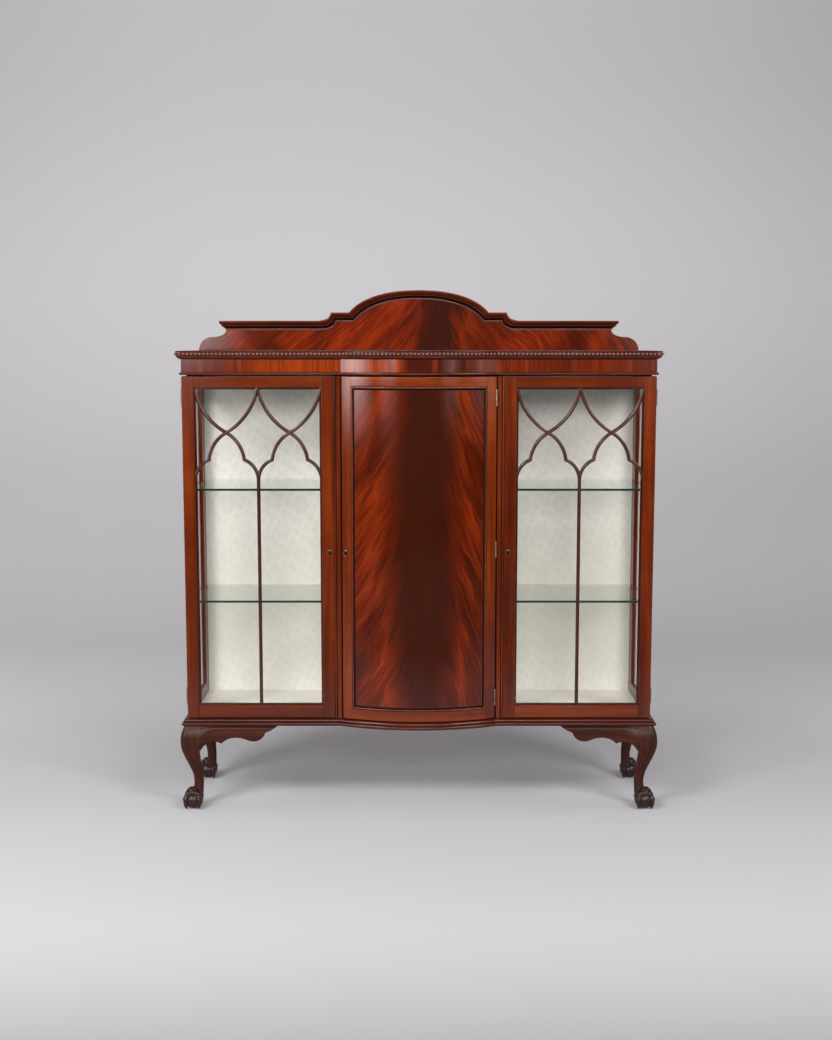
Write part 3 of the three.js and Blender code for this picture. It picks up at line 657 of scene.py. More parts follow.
def damask_flower(paint, run, up, stray, shift):
    """A flower and a wreath of leaves in the middle of each repeat, 0 between them."""
    across = paint.math("FRACT", run * (1 / REPEAT_X) + shift)
    along = paint.math("FRACT", up * (1 / REPEAT_Z) + shift)
    x = across * REPEAT_X - REPEAT_X / 2
    z = along * (REPEAT_Z * 0.8) - REPEAT_Z * 0.4
    reach = paint.math("SQRT", x * x + z * z) + (stray * 0.012 - 0.006)
    turn = paint.math("ARCTAN2", z, x)
    petals = paint.math("COSINE", turn * 6.0) * -0.005 + reach
    bloom = petals.fade(0.023, 0.019) * petals.fade(0.006, 0.009)
    leaves = paint.math("COSINE", turn * 8.0 + 1.0).fade(-0.1, 0.5)
    return paint.larger(bloom, leaves * abs(reach - 0.039).fade(0.008, 0.005))


def damask_fabric():
    """Woven lining cloth with a faint all-over pattern of flowers in a half-drop repeat, and painted shade.
    """
    paint = Paint("damask")
    x, y, z = paint.xyz()
    normal = paint.parts(paint.value("True Normal", "ShaderNodeNewGeometry"))
    level = paint.math("GREATER_THAN", abs(normal[2]), 0.5)
    run = (1.0 - level) * y + x
    up = level * y + z
    stray = paint.noise(paint.place(), (30, 30, 30))
    flowers = [damask_flower(paint, run, up, stray, shift) for shift in (0.0, 0.5)]
    motif = paint.larger(*flowers)
    weave_x = paint.math("SINE", run * (2 * pi / THREAD_X))
    weave_z = paint.math("SINE", up * (2 * pi / THREAD_Z))
    slub = paint.noise(paint.vector(run, up), (90, 900, 1))
    cloud = paint.noise(paint.place(), (9, 9, 9))
    # Painted shade: the cloth is made darker lower down (less so at the very foot), towards the right and
    # near both outer ends, with a random cloudy mottling on top.
    painted_shade_and_mottling = z.fade(DOOR_LOW + 0.22, DOOR_TOP - 0.25, (0.5, 0.0))
    painted_shade_and_mottling = painted_shade_and_mottling * z.fade(DOOR_LOW, DOOR_LOW + 0.2, (0.4, 1.0)) + x.fade(-0.2, 0.6, (0.0, 0.12))
    painted_shade_and_mottling = painted_shade_and_mottling + abs(x).fade(0.3, 0.56, (0.0, 0.2)) + cloud.fade(0.35, 0.7, (0.0, 0.16))
    colour = paint.blend(motif, srgb(240, 238, 232), srgb(231, 229, 222))
    colour = paint.blend(painted_shade_and_mottling, colour, srgb(196, 192, 180))
    colour = paint.blend(slub.fade(0.3, 0.7, (0.0, 0.3)), colour, srgb(243, 241, 236))
    inputs = {
        "Base Color": colour, "Roughness": motif.fade(0, 1, (0.7, 0.85)), "Sheen Weight": 0.15,
        "Sheen Roughness": 0.4, "IOR": 1.45, "Specular IOR Level": 0.3,
    }
    return paint.shaded(inputs, weave_x * weave_z * 0.5, 0.0001)


def pane_glass(name, tint):
    """Thin flat glass: a faint tint, and what it mirrors at a glance."""
    paint = Paint(name)
    smear = paint.noise(paint.place(), (3, 3, 3))
    tint = paint.blend(smear, tint, tuple(v * 0.985 for v in tint))
    clear = paint.value(0, "ShaderNodeBsdfTransparent", {"Color": tint})
    gloss = paint.value(0, "ShaderNodeBsdfGlossy", {"Color": (1, 1, 1, 1), "Roughness": 0.03})
    facing = 1.0 - paint.value("Backfacing", "ShaderNodeNewGeometry")
    share = paint.value("Fac", "ShaderNodeFresnel", {"IOR": 1.45}) * facing
    return paint.surface(paint.value(0, "ShaderNodeMixShader", {0: share, 1: clear, 2: gloss}))


def edge_glass():
    """The ground and polished edge of a glass shelf."""
    paint = Paint("shelf_edge")
    cloud = paint.noise(paint.place(), (40, 40, 400))
    colour = paint.blend(cloud, srgb(16, 44, 38), srgb(30, 62, 54))
    coat = {"Coat Weight": 0.6, "Coat Roughness": 0.05}
    return paint.shaded({"Base Color": colour, "Roughness": 0.18, "IOR": 1.5, **coat})


def metal(name, bright, worn):
    """Aged metal: patches of dull tarnish and fine scratches worn in by rubbing."""
    paint = Paint(name)
    patch = paint.noise(paint.place(), (160, 160, 160), detail=4, rough=0.6)
    scratch = paint.noise(paint.place(), (900, 900, 120))
    colour = paint.blend(patch.fade(0.38, 0.66), bright, worn)
    rough = patch.fade(0.35, 0.65, (0.28, 0.5))
    return paint.shaded({"Base Color": colour, "Roughness": rough, "Metallic": 1.0}, scratch, 0.00003)


FRONT_WOOD = plain_wood("front_mahogany", srgb(60, 16, 3), srgb(90, 30, 5), srgb(116, 47, 10))
CENTRE_WOOD = plain_wood("centre_mahogany", srgb(76, 24, 5), srgb(106, 40, 8), srgb(136, 62, 18))
MOULDING_WOOD = plain_wood(
    "moulding_mahogany", srgb(46, 13, 5), srgb(68, 22, 8), srgb(90, 33, 13), bands=120,
    coat=0.6, coat_rough=0.14,
)
BAR_WOOD = plain_wood("bar_mahogany", srgb(40, 17, 13), srgb(58, 29, 23), srgb(76, 40, 32), bands=160)
LEG_WOOD = plain_wood(
    "leg_mahogany", srgb(30, 11, 6), srgb(58, 22, 11), srgb(88, 38, 20), bands=90,
    coat=0.2, coat_rough=0.24, rough=(0.42, 0.58), specular=0.1,
)
CARVED_WOOD = plain_wood(
    "carved_mahogany", srgb(26, 13, 9), srgb(42, 21, 15), srgb(64, 34, 25), bands=90,
    rough=(0.4, 0.6), depth=0.00012, coat=0.5, coat_rough=0.22, specular=0.1,
)
CARCASS_WOOD = plain_wood(
    "carcass_wood", srgb(104, 62, 38), srgb(136, 86, 54), srgb(160, 106, 70), bands=70,
    coat=0.05, coat_rough=0.4, rough=(0.55, 0.72), specular=0.4,
)
# A lighter mahogany for beads; on the cap's fillet and bead rows it is a painted highlight.
BEAD_WOOD = plain_wood(
    "bead_mahogany", srgb(62, 24, 14), srgb(88, 38, 25), srgb(116, 56, 38), bands=120,
    coat=0.9, coat_rough=0.16,
)
# Near-black mahogany for quirks, grooves and down-facing hollows: partly wax gathered there, partly painted
# shade where these hollows fall in shadow.
WAX_AND_PAINTED_SHADE = plain_wood(
    "dark_wax", srgb(14, 6, 3), srgb(22, 9, 5), srgb(30, 13, 8),
    coat=0.1, coat_rough=0.4, rough=(0.6, 0.8),
)
DULL_TOP = plain_wood(
    "dull_top", srgb(44, 16, 8), srgb(62, 24, 12), srgb(80, 34, 18),
    coat=0.0, rough=(0.6, 0.75), specular=0.0,
)
SHELF_WOOD = shelf_wood()
NOSING_WOOD = carved_nosing()
FRIEZE = frieze_veneer()
FLAME = panel_veneer()
CREST = crest_veneer()
DAMASK = damask_fabric()
CLEAR = pane_glass("clear_glass", (0.99, 0.99, 0.985))
SHELF = pane_glass("shelf_glass", (0.93, 0.945, 0.93))
SHELF_EDGE = edge_glass()
BRASS = metal("aged_brass", srgb(120, 98, 66), srgb(64, 48, 32))
STEEL = metal("dull_steel", srgb(150, 138, 122), srgb(104, 92, 78))
BRONZE = metal("dark_bronze", srgb(66, 40, 26), srgb(34, 20, 13))

# ---------------- case mouldings


def moulded_slab(name, profile, z0, node):
    """A slab with the plan of the case; the profile lists how far out and how high, in mm."""
    loops = [[(x, y, z0 + rise * MM) for x, y in plan(out * MM)] for out, rise in profile]
    return piece(name, loft(loops), "case", "mahogany", MOULDING_WOOD, round_case, node, angle=32)


def bulge(out, depth, z0, z1):
    """A half-round that stands out by depth at mid-height."""
    turns = linspace(0, pi, 13)
    return [(out - depth * (1 - sin(t)), mix(z0, z1, (1 - cos(t)) / 2)) for t in turns]


def case_mouldings():
    base = bulge(14.4, 4.8, 0, 10.5) + [(8.2, 10.9), (8.2, 11.4)]
    base += quarter((4.4, 11.6), (4.6, 0), (0, 6.4), 8)
    moulded_slab("base_moulding", base, BASE_LOW, "base_board")
    bead = [(-12, 0), (-12, 2.4), (1.4, 2.6), *bulge(4.5, 2.6, 2.8, 8.9), (1.2, 9.1), (1.2, 9.5)]
    slab = moulded_slab("top_bead", bead, BEAD_LOW, "carcass_top")
    # Painted shade: the recessed strip at the bead's foot, over the doors, gets the near-black wax and shade
    # wood.
    touch(slab, WAX_AND_PAINTED_SHADE, lambda face: face.center.z < BEAD_LOW + 2.55 * MM)


def frieze():
    low_z, high_z, thick = low("frieze").z, high("frieze").z, 18 * MM
    outer, inner = plan(0.0), plan(-thick, BACK_Y - thick)
    corners = ((outer, low_z), (outer, high_z), (inner, high_z), (inner, low_z))
    shape = loft([[(x, y, z) for x, y in line] for line, z in corners], around=True)
    obj = piece("frieze_veneered", shape, "case", "figured_veneer", FRIEZE, up_case, "frieze")
    touch(obj, CARCASS_WOOD, lambda face: face.normal.y > 0.9)


def cornice():
    """The bed moulding and the rounded top edge of the cornice; the carved nosing between them is built by
    cornice_carving.
    """
    top = (CORNICE_TOP - CORNICE_LOW) / MM
    bed = [(0.6, 0), (3.0, 0), (3.0, 1.4), (4.6, 1.6), (4.8, 2.2)]
    for t in linspace(0, 1, 9)[1:]:
        bed.append((mix(4.8, 11.6, t), 2.2 + 6.4 * (1 - cos(t * pi / 2))))
    slab = moulded_slab("cornice_bed", bed + [(11.8, 9.6), (0.6, 9.6)], CORNICE_LOW, "cornice")
    # Painted shade: the quirk at the foot of the bed moulding is near-black.
    touch(slab, WAX_AND_PAINTED_SHADE, lambda face: face.center.z < CORNICE_LOW + 1.7 * MM)
    edge = [(0.5, top - 4.0), (11.2, top - 4.0)]
    for t in linspace(-0.1, pi / 2, 9):
        edge.append((9.0 + 3.4 * cos(t), top - 3.4 + 3.4 * sin(t)))
    slab = moulded_slab("cornice_top", edge + [(0.5, top)], CORNICE_LOW, "cornice")
    touch(slab, DULL_TOP, lambda face: face.normal.z > 0.5)


NOSING_GROUND, NOSING_ROUND = 11.5, 3.0
NOSING_LOW, NOSING_HIGH = 10.0, 16.6
LEAF_PITCH = 0.0104


def carved_relief(run, across):
    """Height of the carving on the nosing: leaves, and a pip between them."""
    phase = (run / LEAF_PITCH + 0.5) % 1.0 - 0.5
    leaf = np.clip(1 - np.abs(phase / 0.36) ** 1.6 - np.abs(across / 0.9) ** 1.8, 0, 1) ** 0.55
    beside = (np.abs(phase) - 0.5) / 0.11
    pip = np.clip(1 - beside**2 - (across / 0.4) ** 2, 0, 1) ** 0.5
    return np.maximum(leaf, 0.7 * pip)


def cornice_carving():
    """The carved nosing: each leaf is pushed out along the normal of the plan."""

    def track(out):
        return np.array(plan(out * MM, side_steps=310, flat_steps=400, bow_steps=400))

    run = np.concatenate([[0], np.cumsum(np.linalg.norm(np.diff(track(10), axis=0), axis=1))])
    run -= run[-1] / 2
    z_mid, half = (NOSING_LOW + NOSING_HIGH) / 2, (NOSING_HIGH - NOSING_LOW) / 2
    loops = []
    for t in linspace(-0.5 * pi, 0.5 * pi, 15):
        relief = carved_relief(run, sin(t))
        out = NOSING_GROUND + NOSING_ROUND * cos(t)
        ring = track(out)
        push = (track(out + 1) - ring) * 1.5 * relief[:, None] * cos(t)
        z = CORNICE_LOW + (z_mid + half * sin(t) + 0.6 * relief * sin(t)) * MM
        loops.append(np.column_stack([ring + push, z]))
    inner = track(0.6)
    loops.insert(0, np.column_stack([inner, loops[0][:, 2]]))
    loops.append(np.column_stack([inner, loops[-1][:, 2]]))
    carving = piece(
        "cornice_carving", loft(loops), "case", "mahogany", NOSING_WOOD, round_case, "cornice", angle=60
    )
    write_relief(carving, z_mid * MM + CORNICE_LOW, half * MM)


def write_relief(obj, z_mid, half):
    """How far each vertex stands out of the ground of the carving, 0 to 1."""
    co = np.array([tuple(v.co) for v in obj.data.vertices])
    bow = np.hypot(co[:, 0], BOW_CENTRE - co[:, 1]) - BOW_RADIUS
    out = np.maximum(np.abs(co[:, 0]) - HALF_CASE, FACE_Y - co[:, 1])
    out = np.where(np.abs(co[:, 0]) < BOW_HALF, bow, out)
    level = np.sqrt(np.clip(1 - ((co[:, 2] - z_mid) / half) ** 2, 0, 1))
    ground = (NOSING_GROUND + NOSING_ROUND * level) * MM
    attribute = obj.data.attributes.new("relief", "FLOAT", "POINT")
    attribute.data.foreach_set("value", np.clip((out - ground) / (1.3 * MM), 0, 1).astype(np.float32))


# ---------------- frames of doors and sides


def grooved(width, thick, groove):
    """Section of a stile or rail: u in from its outer edge, v back from its face."""
    near, far, sunk = groove[0] - FIT, groove[1] + FIT, width - GROOVE - FIT
    edge, ovolo = 0.9 * MM, 2.2 * MM
    front = quarter((edge, edge), (-edge, 0), (0, -edge), 3)
    front += quarter((width - ovolo, ovolo), (0, -ovolo), (ovolo, 0), 4)
    inner = [(width, near), (sunk, near), (sunk, far), (width, far), (width, thick)]
    return front + inner + [(0, thick)]


def hinge_recess(leaf, way):
    """The shallow seat of a hinge leaf in a glazed door (way -1) or in the case (way 1)."""
    lo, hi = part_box(leaf)
    inner = min(abs(lo.x), abs(hi.x)) - FIT
    side = math.copysign(1, lo.x)
    middle = FACE_Y + DOOR_THICK + DOOR_GAP / 2
    far_corner = (side * (HALF_CASE + 1 * MM), middle + way * 2 * MM, hi.z + FIT)
    return block((side * inner, middle, lo.z - FIT), far_corner)


def key_cutter(x, y0, y1):
    """A keyhole: a round barrel over a narrower slot."""
    barrel, slot, drop = KEY_BARREL * MM, KEY_SLOT * MM, KEY_DROP * MM
    angle = asin(slot / barrel)
    turns = linspace(-pi / 2 + angle, 1.5 * pi - angle, 21)
    outline = [(x + barrel * cos(t), KEY_Z + barrel * sin(t)) for t in turns]
    outline += [(x - slot, KEY_Z - drop), (x + slot, KEY_Z - drop)]
    return loft([[(px, y, pz) for px, pz in outline] for y in (y0, y1)])


def lock_cutters(side, name):
    """Room for a glazed door's lock: its face plate, its body and the keyhole."""
    lo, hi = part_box(f"lock_{name}")
    plate_seat, body_front, body_back = 2.4 * MM, FACE_Y + 5 * MM, FACE_Y + 15 * MM

    def across(depth):
        return side * (LOCK_X + depth)

    return [
        block((across(-1 * MM), lo.y - FIT, lo.z - FIT), (across(plate_seat), hi.y + FIT, hi.z + FIT)),
        block((across(2 * MM), body_front, LOCK_BODY[0]), (across(LOCK_DEPTH), body_back, LOCK_BODY[1])),
        key_cutter(across(KEY_IN), FACE_Y - 1 * MM, FACE_Y + 7 * MM),
    ]


def glazed_door(side, name):
    finish = (f"door_{name}", "mahogany", FRONT_WOOD)
    node = f"door_frame_{name}"
    seats = [hinge_recess(f"hinge_{i}_door_leaf_{name}", -1) for i in (1, 2)]
    stiles = (("lock", LOCK_X, 1, lock_cutters(side, name)), ("hinge", HALF_CASE, -1, seats))
    for label, edge, inward, cutters in stiles:
        stile = sweep(
            grooved(STILE, DOOR_THICK, PANE_BACK),
            (DOOR_LOW, DOOR_TOP),
            lambda t, u, v: (side * (edge + inward * u), FACE_Y + v, t),
        )
        piece(f"door_{label}_stile_{name}", stile, *finish, along_z, node, cutters=cutters)
    for label, width, z, upward in (("top", TOP_RAIL, DOOR_TOP, -1), ("foot", FOOT_RAIL, DOOR_LOW, 1)):
        rail = sweep(
            grooved(width, DOOR_THICK, PANE_BACK),
            (PANE[0] + 0.1 * MM, PANE[1] - 0.1 * MM),
            lambda t, u, v: (side * t, FACE_Y + v, z + upward * u),
        )
        piece(f"door_{label}_rail_{name}", rail, *finish, along_x, node)
    glazing_bead(side, name)


def glazing_bead(side, name):
    """The small mitred bead that holds a pane from inside."""
    x0, x1, z0, z1 = PANE
    size = 5 * MM
    section = [(0, 0), (size, 0)]
    section += [(size * cos(t), size * sin(t)) for t in linspace(0.15, pi / 2, 6)]
    loops = []
    for u, v in section:
        corners = ((x0 + u, z0 + u), (x1 - u, z0 + u), (x1 - u, z1 - u), (x0 + u, z1 - u))
        loops.append([(side * x, FACE_Y + PANE_BACK[1] + v, z) for x, z in corners])
    bead, node = loft(loops, around=True), f"door_frame_{name}"
    piece(f"door_glazing_bead_{name}", bead, f"door_{name}", "mahogany", MOULDING_WOOD, along_z, node)


def side_frames():
    front, rear = 40 * MM, 55 * MM
    z0, z1 = low("side_frame_right").z, high("side_frame_right").z
    thick = HALF_CASE - SIDE_INNER
    glass = (HALF_CASE - high("side_glass_right").x, HALF_CASE - low("side_glass_right").x)
    upright, level = (z0, z1), (SIDE_FRONT + front, BACK_Y - rear)
    for side, name in SIDES:
        seats = [hinge_recess(f"hinge_{i}_case_leaf_{name}", 1) for i in (1, 2)]
        for label, width, ends, grain, cutters, place in (
            ("front_stile", front, upright, along_z, seats, lambda t, u: (SIDE_FRONT + u, t)),
            ("back_stile", rear, upright, along_z, (), lambda t, u: (BACK_Y - u, t)),
            ("top_rail", z1 - PANE[3], level, along_y, (), lambda t, u: (t, z1 - u)),
            ("foot_rail", PANE[2] - z0, level, along_y, (), lambda t, u: (t, z0 + u)),
        ):
            section = grooved(width, thick, glass)
            shape = sweep(section, ends, lambda t, u, v: (side * (HALF_CASE - v), *place(t, u)))
            finish = ("case", "mahogany", FRONT_WOOD, grain, f"side_frame_{name}")
            piece(f"side_{label}_{name}", shape, *finish, cutters=cutters)


def bolt_opening(side, y, x0, x1):
    """The opening in a partition that a lock's bolt enters."""
    half = 2.6 * MM
    return block((side * x0, y - half, BOLT_HOLE[0]), (side * x1, y + half, BOLT_HOLE[1]))


def bow_hinge_recesses(x0, x1, y0):
    """The seats of the middle door's hinge leaves between two places across."""
    seats, y1 = [], FACE_Y + 11.8 * MM
    for i in (1, 2, 3):
        lo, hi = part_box(f"hinge_{i}_door_leaf_centre")
        seats.append(block((x0, y0, lo.z - FIT), (x1, y1, hi.z + FIT)))
    return seats


def partitions():
    """The uprights beside the bowed door, with a quirk and bead down their front edge."""
    lo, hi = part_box("partition_right")
    radius, quirk = 2.25 * MM, 2.5 * MM
    start = PARTITION_OUTER - 2 * radius
    flat_end = start - quirk
    outline = [(HALF_CUPBOARD, hi.y)]
    for x, depth in ((0, 4), (2.6, 4), (2.8, 0.6), (3.4, 0)):
        outline.append((HALF_CUPBOARD + x * MM, FACE_Y + depth * MM))
    for x, depth in ((-0.5, 0), (0, 0.5), (0, 2.5), (2.5, 2.5)):
        outline.append((flat_end + x * MM, FACE_Y + depth * MM))
    for t in linspace(0, pi, 11):
        outline.append((start + radius * (1 - cos(t)), FACE_Y + radius * (1 - sin(t))))
    outline.append((PARTITION_OUTER, hi.y))

    def in_groove(face):
        x, depth = abs(face.center.x), face.center.y - FACE_Y
        beside_bow = HALF_CUPBOARD - FIT < x < HALF_CUPBOARD + 2.9 * MM and depth < 4.3 * MM
        beside_bead = flat_end - FIT < x < start + 0.1 * MM and depth < 2.7 * MM
        return depth > 1.0 * MM and (beside_bow or beside_bead)

    inside = HALF_CUPBOARD - 1 * MM
    seats = bow_hinge_recesses(inside, HALF_CUPBOARD + 1.5 * MM, FACE_Y - 1 * MM)
    centre_opening = bolt_opening(-1, FACE_Y + 8 * MM, inside, HALF_CUPBOARD + 6 * MM)
    for side, name in SIDES:
        shape = loft([[(side * x, y, z) for x, y in outline] for z in (lo.z, hi.z)])
        y = FACE_Y + DOOR_THICK / 2
        cutters = [bolt_opening(side, y, PARTITION_OUTER - 6 * MM, PARTITION_OUTER + 1 * MM)]
        cutters += seats if side > 0 else [centre_opening]
        finish = ("case", "mahogany", FRONT_WOOD, along_z, f"partition_{name}")
        obj = piece(f"partition_beaded_{name}", shape, *finish, cutters=cutters)
        # Painted shade: the faces deep in the groove beside the bowed door and in the quirk beside the bead
        # are near-black.
        touch(obj, WAX_AND_PAINTED_SHADE, in_groove)


# ---------------- bowed door


def bent(x, depth, z):
    """A point of the bowed door: across, behind its face and up."""
    return (x, bow_y(x, -depth), z)


def bow_member(name, section, stations, place, grain, cutters=()):
    shape = sweep(spaced(section, BOW_STEP), stations, place)
    finish = ("door_centre", "mahogany", CENTRE_WOOD, grain, "door_frame_centre")
    piece(name, shape, *finish, cutters=cutters, angle=25)


def bow_lock_cutters():
    lo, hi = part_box("lock_centre")
    plate_seat, body_front, body_back = 2.2 * MM, FACE_Y + 3.2 * MM, FACE_Y + 12.8 * MM
    return [
        block((lo.x - 1.3 * MM, lo.y - FIT, lo.z - FIT), (lo.x + plate_seat, hi.y + FIT, hi.z + FIT)),
        block((lo.x + 2 * MM, body_front, LOCK_BODY[0]), (lo.x + LOCK_DEPTH, body_back, LOCK_BODY[1])),
        key_cutter(BOW_KEY_X, bow_y(BOW_DOOR_EDGE) - 6 * MM, FACE_Y + 5 * MM),
    ]


def bowed_door():
    edge, edge_round, tongue = BOW_DOOR_EDGE, 0.8 * MM, 1 * MM
    width = BOW_STILE + tongue
    hinge_cutters = bow_hinge_recesses(edge - 1.5 * MM, edge + 1 * MM, FACE_Y - 5 * MM)
    stile = rounded_block(0, 0, width, BOW_THICK, edge_round)
    for side, name, cuts in ((-1, "lock", bow_lock_cutters()), (1, "hinge", hinge_cutters)):
        bow_member(
            f"bow_{name}_stile", stile, (DOOR_LOW, DOOR_TOP),
            lambda t, u, v: bent(side * (edge - u), v, t), up_bow, cuts,
        )
    reach = edge - width - 0.1 * MM
    rails = (("top", DOOR_TOP, -1, BOW_TOP_RAIL), ("foot", DOOR_LOW, 1, BOW_FOOT_RAIL))
    for name, z, upward, height in rails:
        bow_member(
            f"bow_{name}_rail", rounded_block(0, 0, height + tongue, BOW_THICK, edge_round),
            linspace(-reach, reach, 61), lambda t, u, v: bent(t, v, z + upward * u), along_bow,
        )
    bow_moulding(edge - BOW_STILE)
    bow_panel(edge - BOW_STILE - PANEL_MOULDING)


def bow_moulding(opening):
    """The sunk moulding: a quirk, a bead and a hollow down to the panel."""
    profile = [(0, 4), (0, 2.8), (1.4, 2.8), (1.5, 1.7), (2.0, 1.0), (2.9, 0.6), (4.0, 0.6)]
    profile += [(4.9, 1.1), (5.5, 2.0), (5.8, 3.2), (6.2, 3.2)]
    for t in linspace(0, 1, 6)[1:]:
        profile.append((mix(6.2, 9.6, t), 3.2 + 2.5 * sin(t * pi / 2)))
    profile += [(9.9, 5.8), (10, 7.5), (6, 9)]
    count_x, count_z = 60, 6
    loops = []
    for inward, depth in profile:
        x = opening - inward * MM
        z0 = DOOR_LOW + BOW_FOOT_RAIL + inward * MM
        z1 = DOOR_TOP - BOW_TOP_RAIL - inward * MM
        loop = [(t, z0) for t in linspace(-x, x, count_x, endpoint=False)]
        loop += [(x, t) for t in linspace(z0, z1, count_z, endpoint=False)]
        loop += [(t, z1) for t in linspace(x, -x, count_x, endpoint=False)]
        loop += [(-x, t) for t in linspace(z1, z0, count_z, endpoint=False)]
        loops.append([bent(px, depth * MM, pz) for px, pz in loop])
    obj = piece(
        "bow_panel_moulding", loft(loops, around=True), "door_centre", "mahogany", BEAD_WOOD, up_bow,
        "door_frame_centre", angle=40,
    )

    def sunk(face):
        radius = hypot(face.center.x, BOW_CENTRE - face.center.y)
        return BOW_RADIUS - radius > 2.2 * MM

    # Painted shade: the sunk quirk and hollow of the moulding are near-black.
    touch(obj, WAX_AND_PAINTED_SHADE, sunk)


def bow_panel(inner):
    tongue = 5 * MM
    reach = inner + tongue
    z0 = DOOR_LOW + BOW_FOOT_RAIL + PANEL_MOULDING - tongue
    z1 = DOOR_TOP - BOW_TOP_RAIL - PANEL_MOULDING + tongue
    panel = rounded_block(-reach, PANEL_SINK, reach, PANEL_SINK + PANEL_THICK, 0.5 * MM)
    shape = sweep(spaced(panel, BOW_STEP), linspace(z0, z1, 3), lambda t, u, v: bent(u, v, t))
    finish = ("door_centre", "flame_veneer", FLAME, up_bow, "door_panel_centre")
    piece("bow_panel", shape, *finish, angle=25)


# ---------------- tracery


def bar_section(width, depth):
    """An astragal bar: a half-round on two small fillets, flat behind."""
    half, fillet = width / 2, width * 0.1
    section = [(half, 0), (half, depth * 0.4)]
    for t in linspace(0, pi, 11):
        section.append(((half - fillet) * cos(t), depth * (0.45 + 0.55 * sin(t))))
    return section + [(-half, depth * 0.4), (-half, 0)]


def bar_along(line, section, y):
    """A bar whose back lies at y, carried along a line of (x, z) points with mitred corners."""
    line = [np.array(p, float) for p in line]
    loops = []
    for i, p in enumerate(line):
        before = p - line[i - 1] if i else line[1] - p
        after = line[i + 1] - p if i + 1 < len(line) else before
        a, b = before / np.linalg.norm(before), after / np.linalg.norm(after)
        along = (a + b) / np.linalg.norm(a + b)
        reach = 1 / max(along @ b, 0.4)
        loops.append([(p[0] - along[1] * u * reach, y - v, p[1] + along[0] * u * reach) for u, v in section])
    return loft(loops)


def tracery():
    """Crossed ogee bars in the head of each glazed door, over one upright bar."""
    half, middle = (PANE[1] - PANE[0]) / 2, (PANE[0] + PANE[1]) / 2
    cross, cusp, join, inset = 116 * MM, 186 * MM, 239 * MM, 36 * MM
    width, depth, steps = 9 * MM, 6.5 * MM, 18
    crossing, point = (half / 2, cross), (half - inset, cusp)
    line = arc((0, 0), crossing, 80, steps) + arc(crossing, point, 30, steps)[1:]
    line += arc(point, (half, join), 22, steps)[1:]
    curves = []
    for way in (-1, 1):
        curves.append([(middle + way * (half - p[0]), PANE[3] - p[1]) for p in line])
        curves.append([(middle + way * p[0], PANE[3] - p[1]) for p in line])
    curves.append([(middle, PANE[2] - 2 * MM), (middle, PANE[3] - join + width / 2)])
    back = FACE_Y + PANE_BACK[0] - FIT
    bars = joined(*(bar_along(curve, bar_section(width, depth), back) for curve in curves))
    for side, name in SIDES:
        obj = make(f"tracery_bars_{name}", *placed(bars, lambda x, y, z: (side * x, y, z)))
        near = (side * (PANE[0] + FIT), FACE_Y - 1 * MM, PANE[2] + FIT)
        far = (side * (PANE[1] - FIT), FACE_Y + DOOR_THICK, PANE[3] - FIT)
        carve(obj, [block(near, far)], "INTERSECT")
        dress(obj, f"door_{name}", "tracery_wood", BAR_WOOD, along_z, f"door_tracery_{name}")


# ---------------- glass shelves and pegs


def glass_shelf(i, side, name):
    node = f"glass_shelf_{i}_{name}"
    lo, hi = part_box(node)
    arris = 0.7 * MM
    outline = rounded_block(lo.x, lo.y, hi.x, hi.y, 2.5 * MM, 4)
    middle = np.array([(lo.x + hi.x) / 2, (lo.y + hi.y) / 2])
    size = np.array([(hi.x - lo.x) / 2, (hi.y - lo.y) / 2])
    loops = []
    for inset, z in ((arris, lo.z), (0, lo.z + arris), (0, hi.z - arris), (arris, hi.z)):
        loops.append([(*(middle + (p - middle) * (1 - inset / size)), z) for p in outline])
    obj = piece(f"shelf_pane_{i}_{name}", loft(loops), "case", "shelf_glass", SHELF, None, node, angle=20)
    touch(obj, SHELF_EDGE, lambda face: face.normal.y < -0.35)
    pegs(i, side, name, lo, hi)


def pegs(i, side, name, lo, hi):
    """Four small brass pins that carry a glass shelf."""
    radius, length, tip, lining = 2.2 * MM, 9 * MM, 0.8 * MM, 3.3 * MM
    parts = []
    for y in (lo.y + 45 * MM, hi.y - 30 * MM):
        for wall, way in ((PARTITION_OUTER + lining, 1), (SIDE_INNER, -1)):
            end = wall + way * length
            spans = ((radius, wall), (radius, end), (radius * 0.6, end + way * tip))
            parts.append(lathe(spans, 16, lambda u, v, h: (side * h, y + u, lo.z - radius + v)))
    piece(f"shelf_pegs_{i}_{name}", joined(*parts), "case", "brass", BRASS)


# ---------------- hinges

HINGE_HALF = 21 * MM
LEAF_WIDTH = 11 * MM


def knuckle(z0, z1):
    radius, chamfer = 2.6 * MM, 0.25 * MM
    inner = radius - chamfer
    return lathe([(inner, z0), (radius, z0 + chamfer), (radius, z1 - chamfer), (inner, z1)], 24)


def ball_tip(z, way):
    """The domed end of a hinge pin."""
    radius, rise = 2.2 * MM, 1.4 * MM
    turns = linspace(0, 1.35, 6)
    return lathe([(radius * cos(a), z + way * rise * sin(a)) for a in turns], 16)


def screw(u, w, z, way):
    """A countersunk screw head lying just proud of a leaf, with its slot cut in."""
    radius, slot = 2.0 * MM, 0.28 * MM
    rings = []
    for r, h in ((radius, 0), (radius * 0.94, 0.22 * MM), (radius * 0.5, 0.3 * MM)):
        ring = []
        for t in circle(20):
            in_slot = r < radius * 0.6 and abs(sin(t)) < 0.3
            ring.append((u + r * cos(t), w + way * (h - slot * in_slot), z + r * sin(t)))
        rings.append(ring)
    return loft(rings)


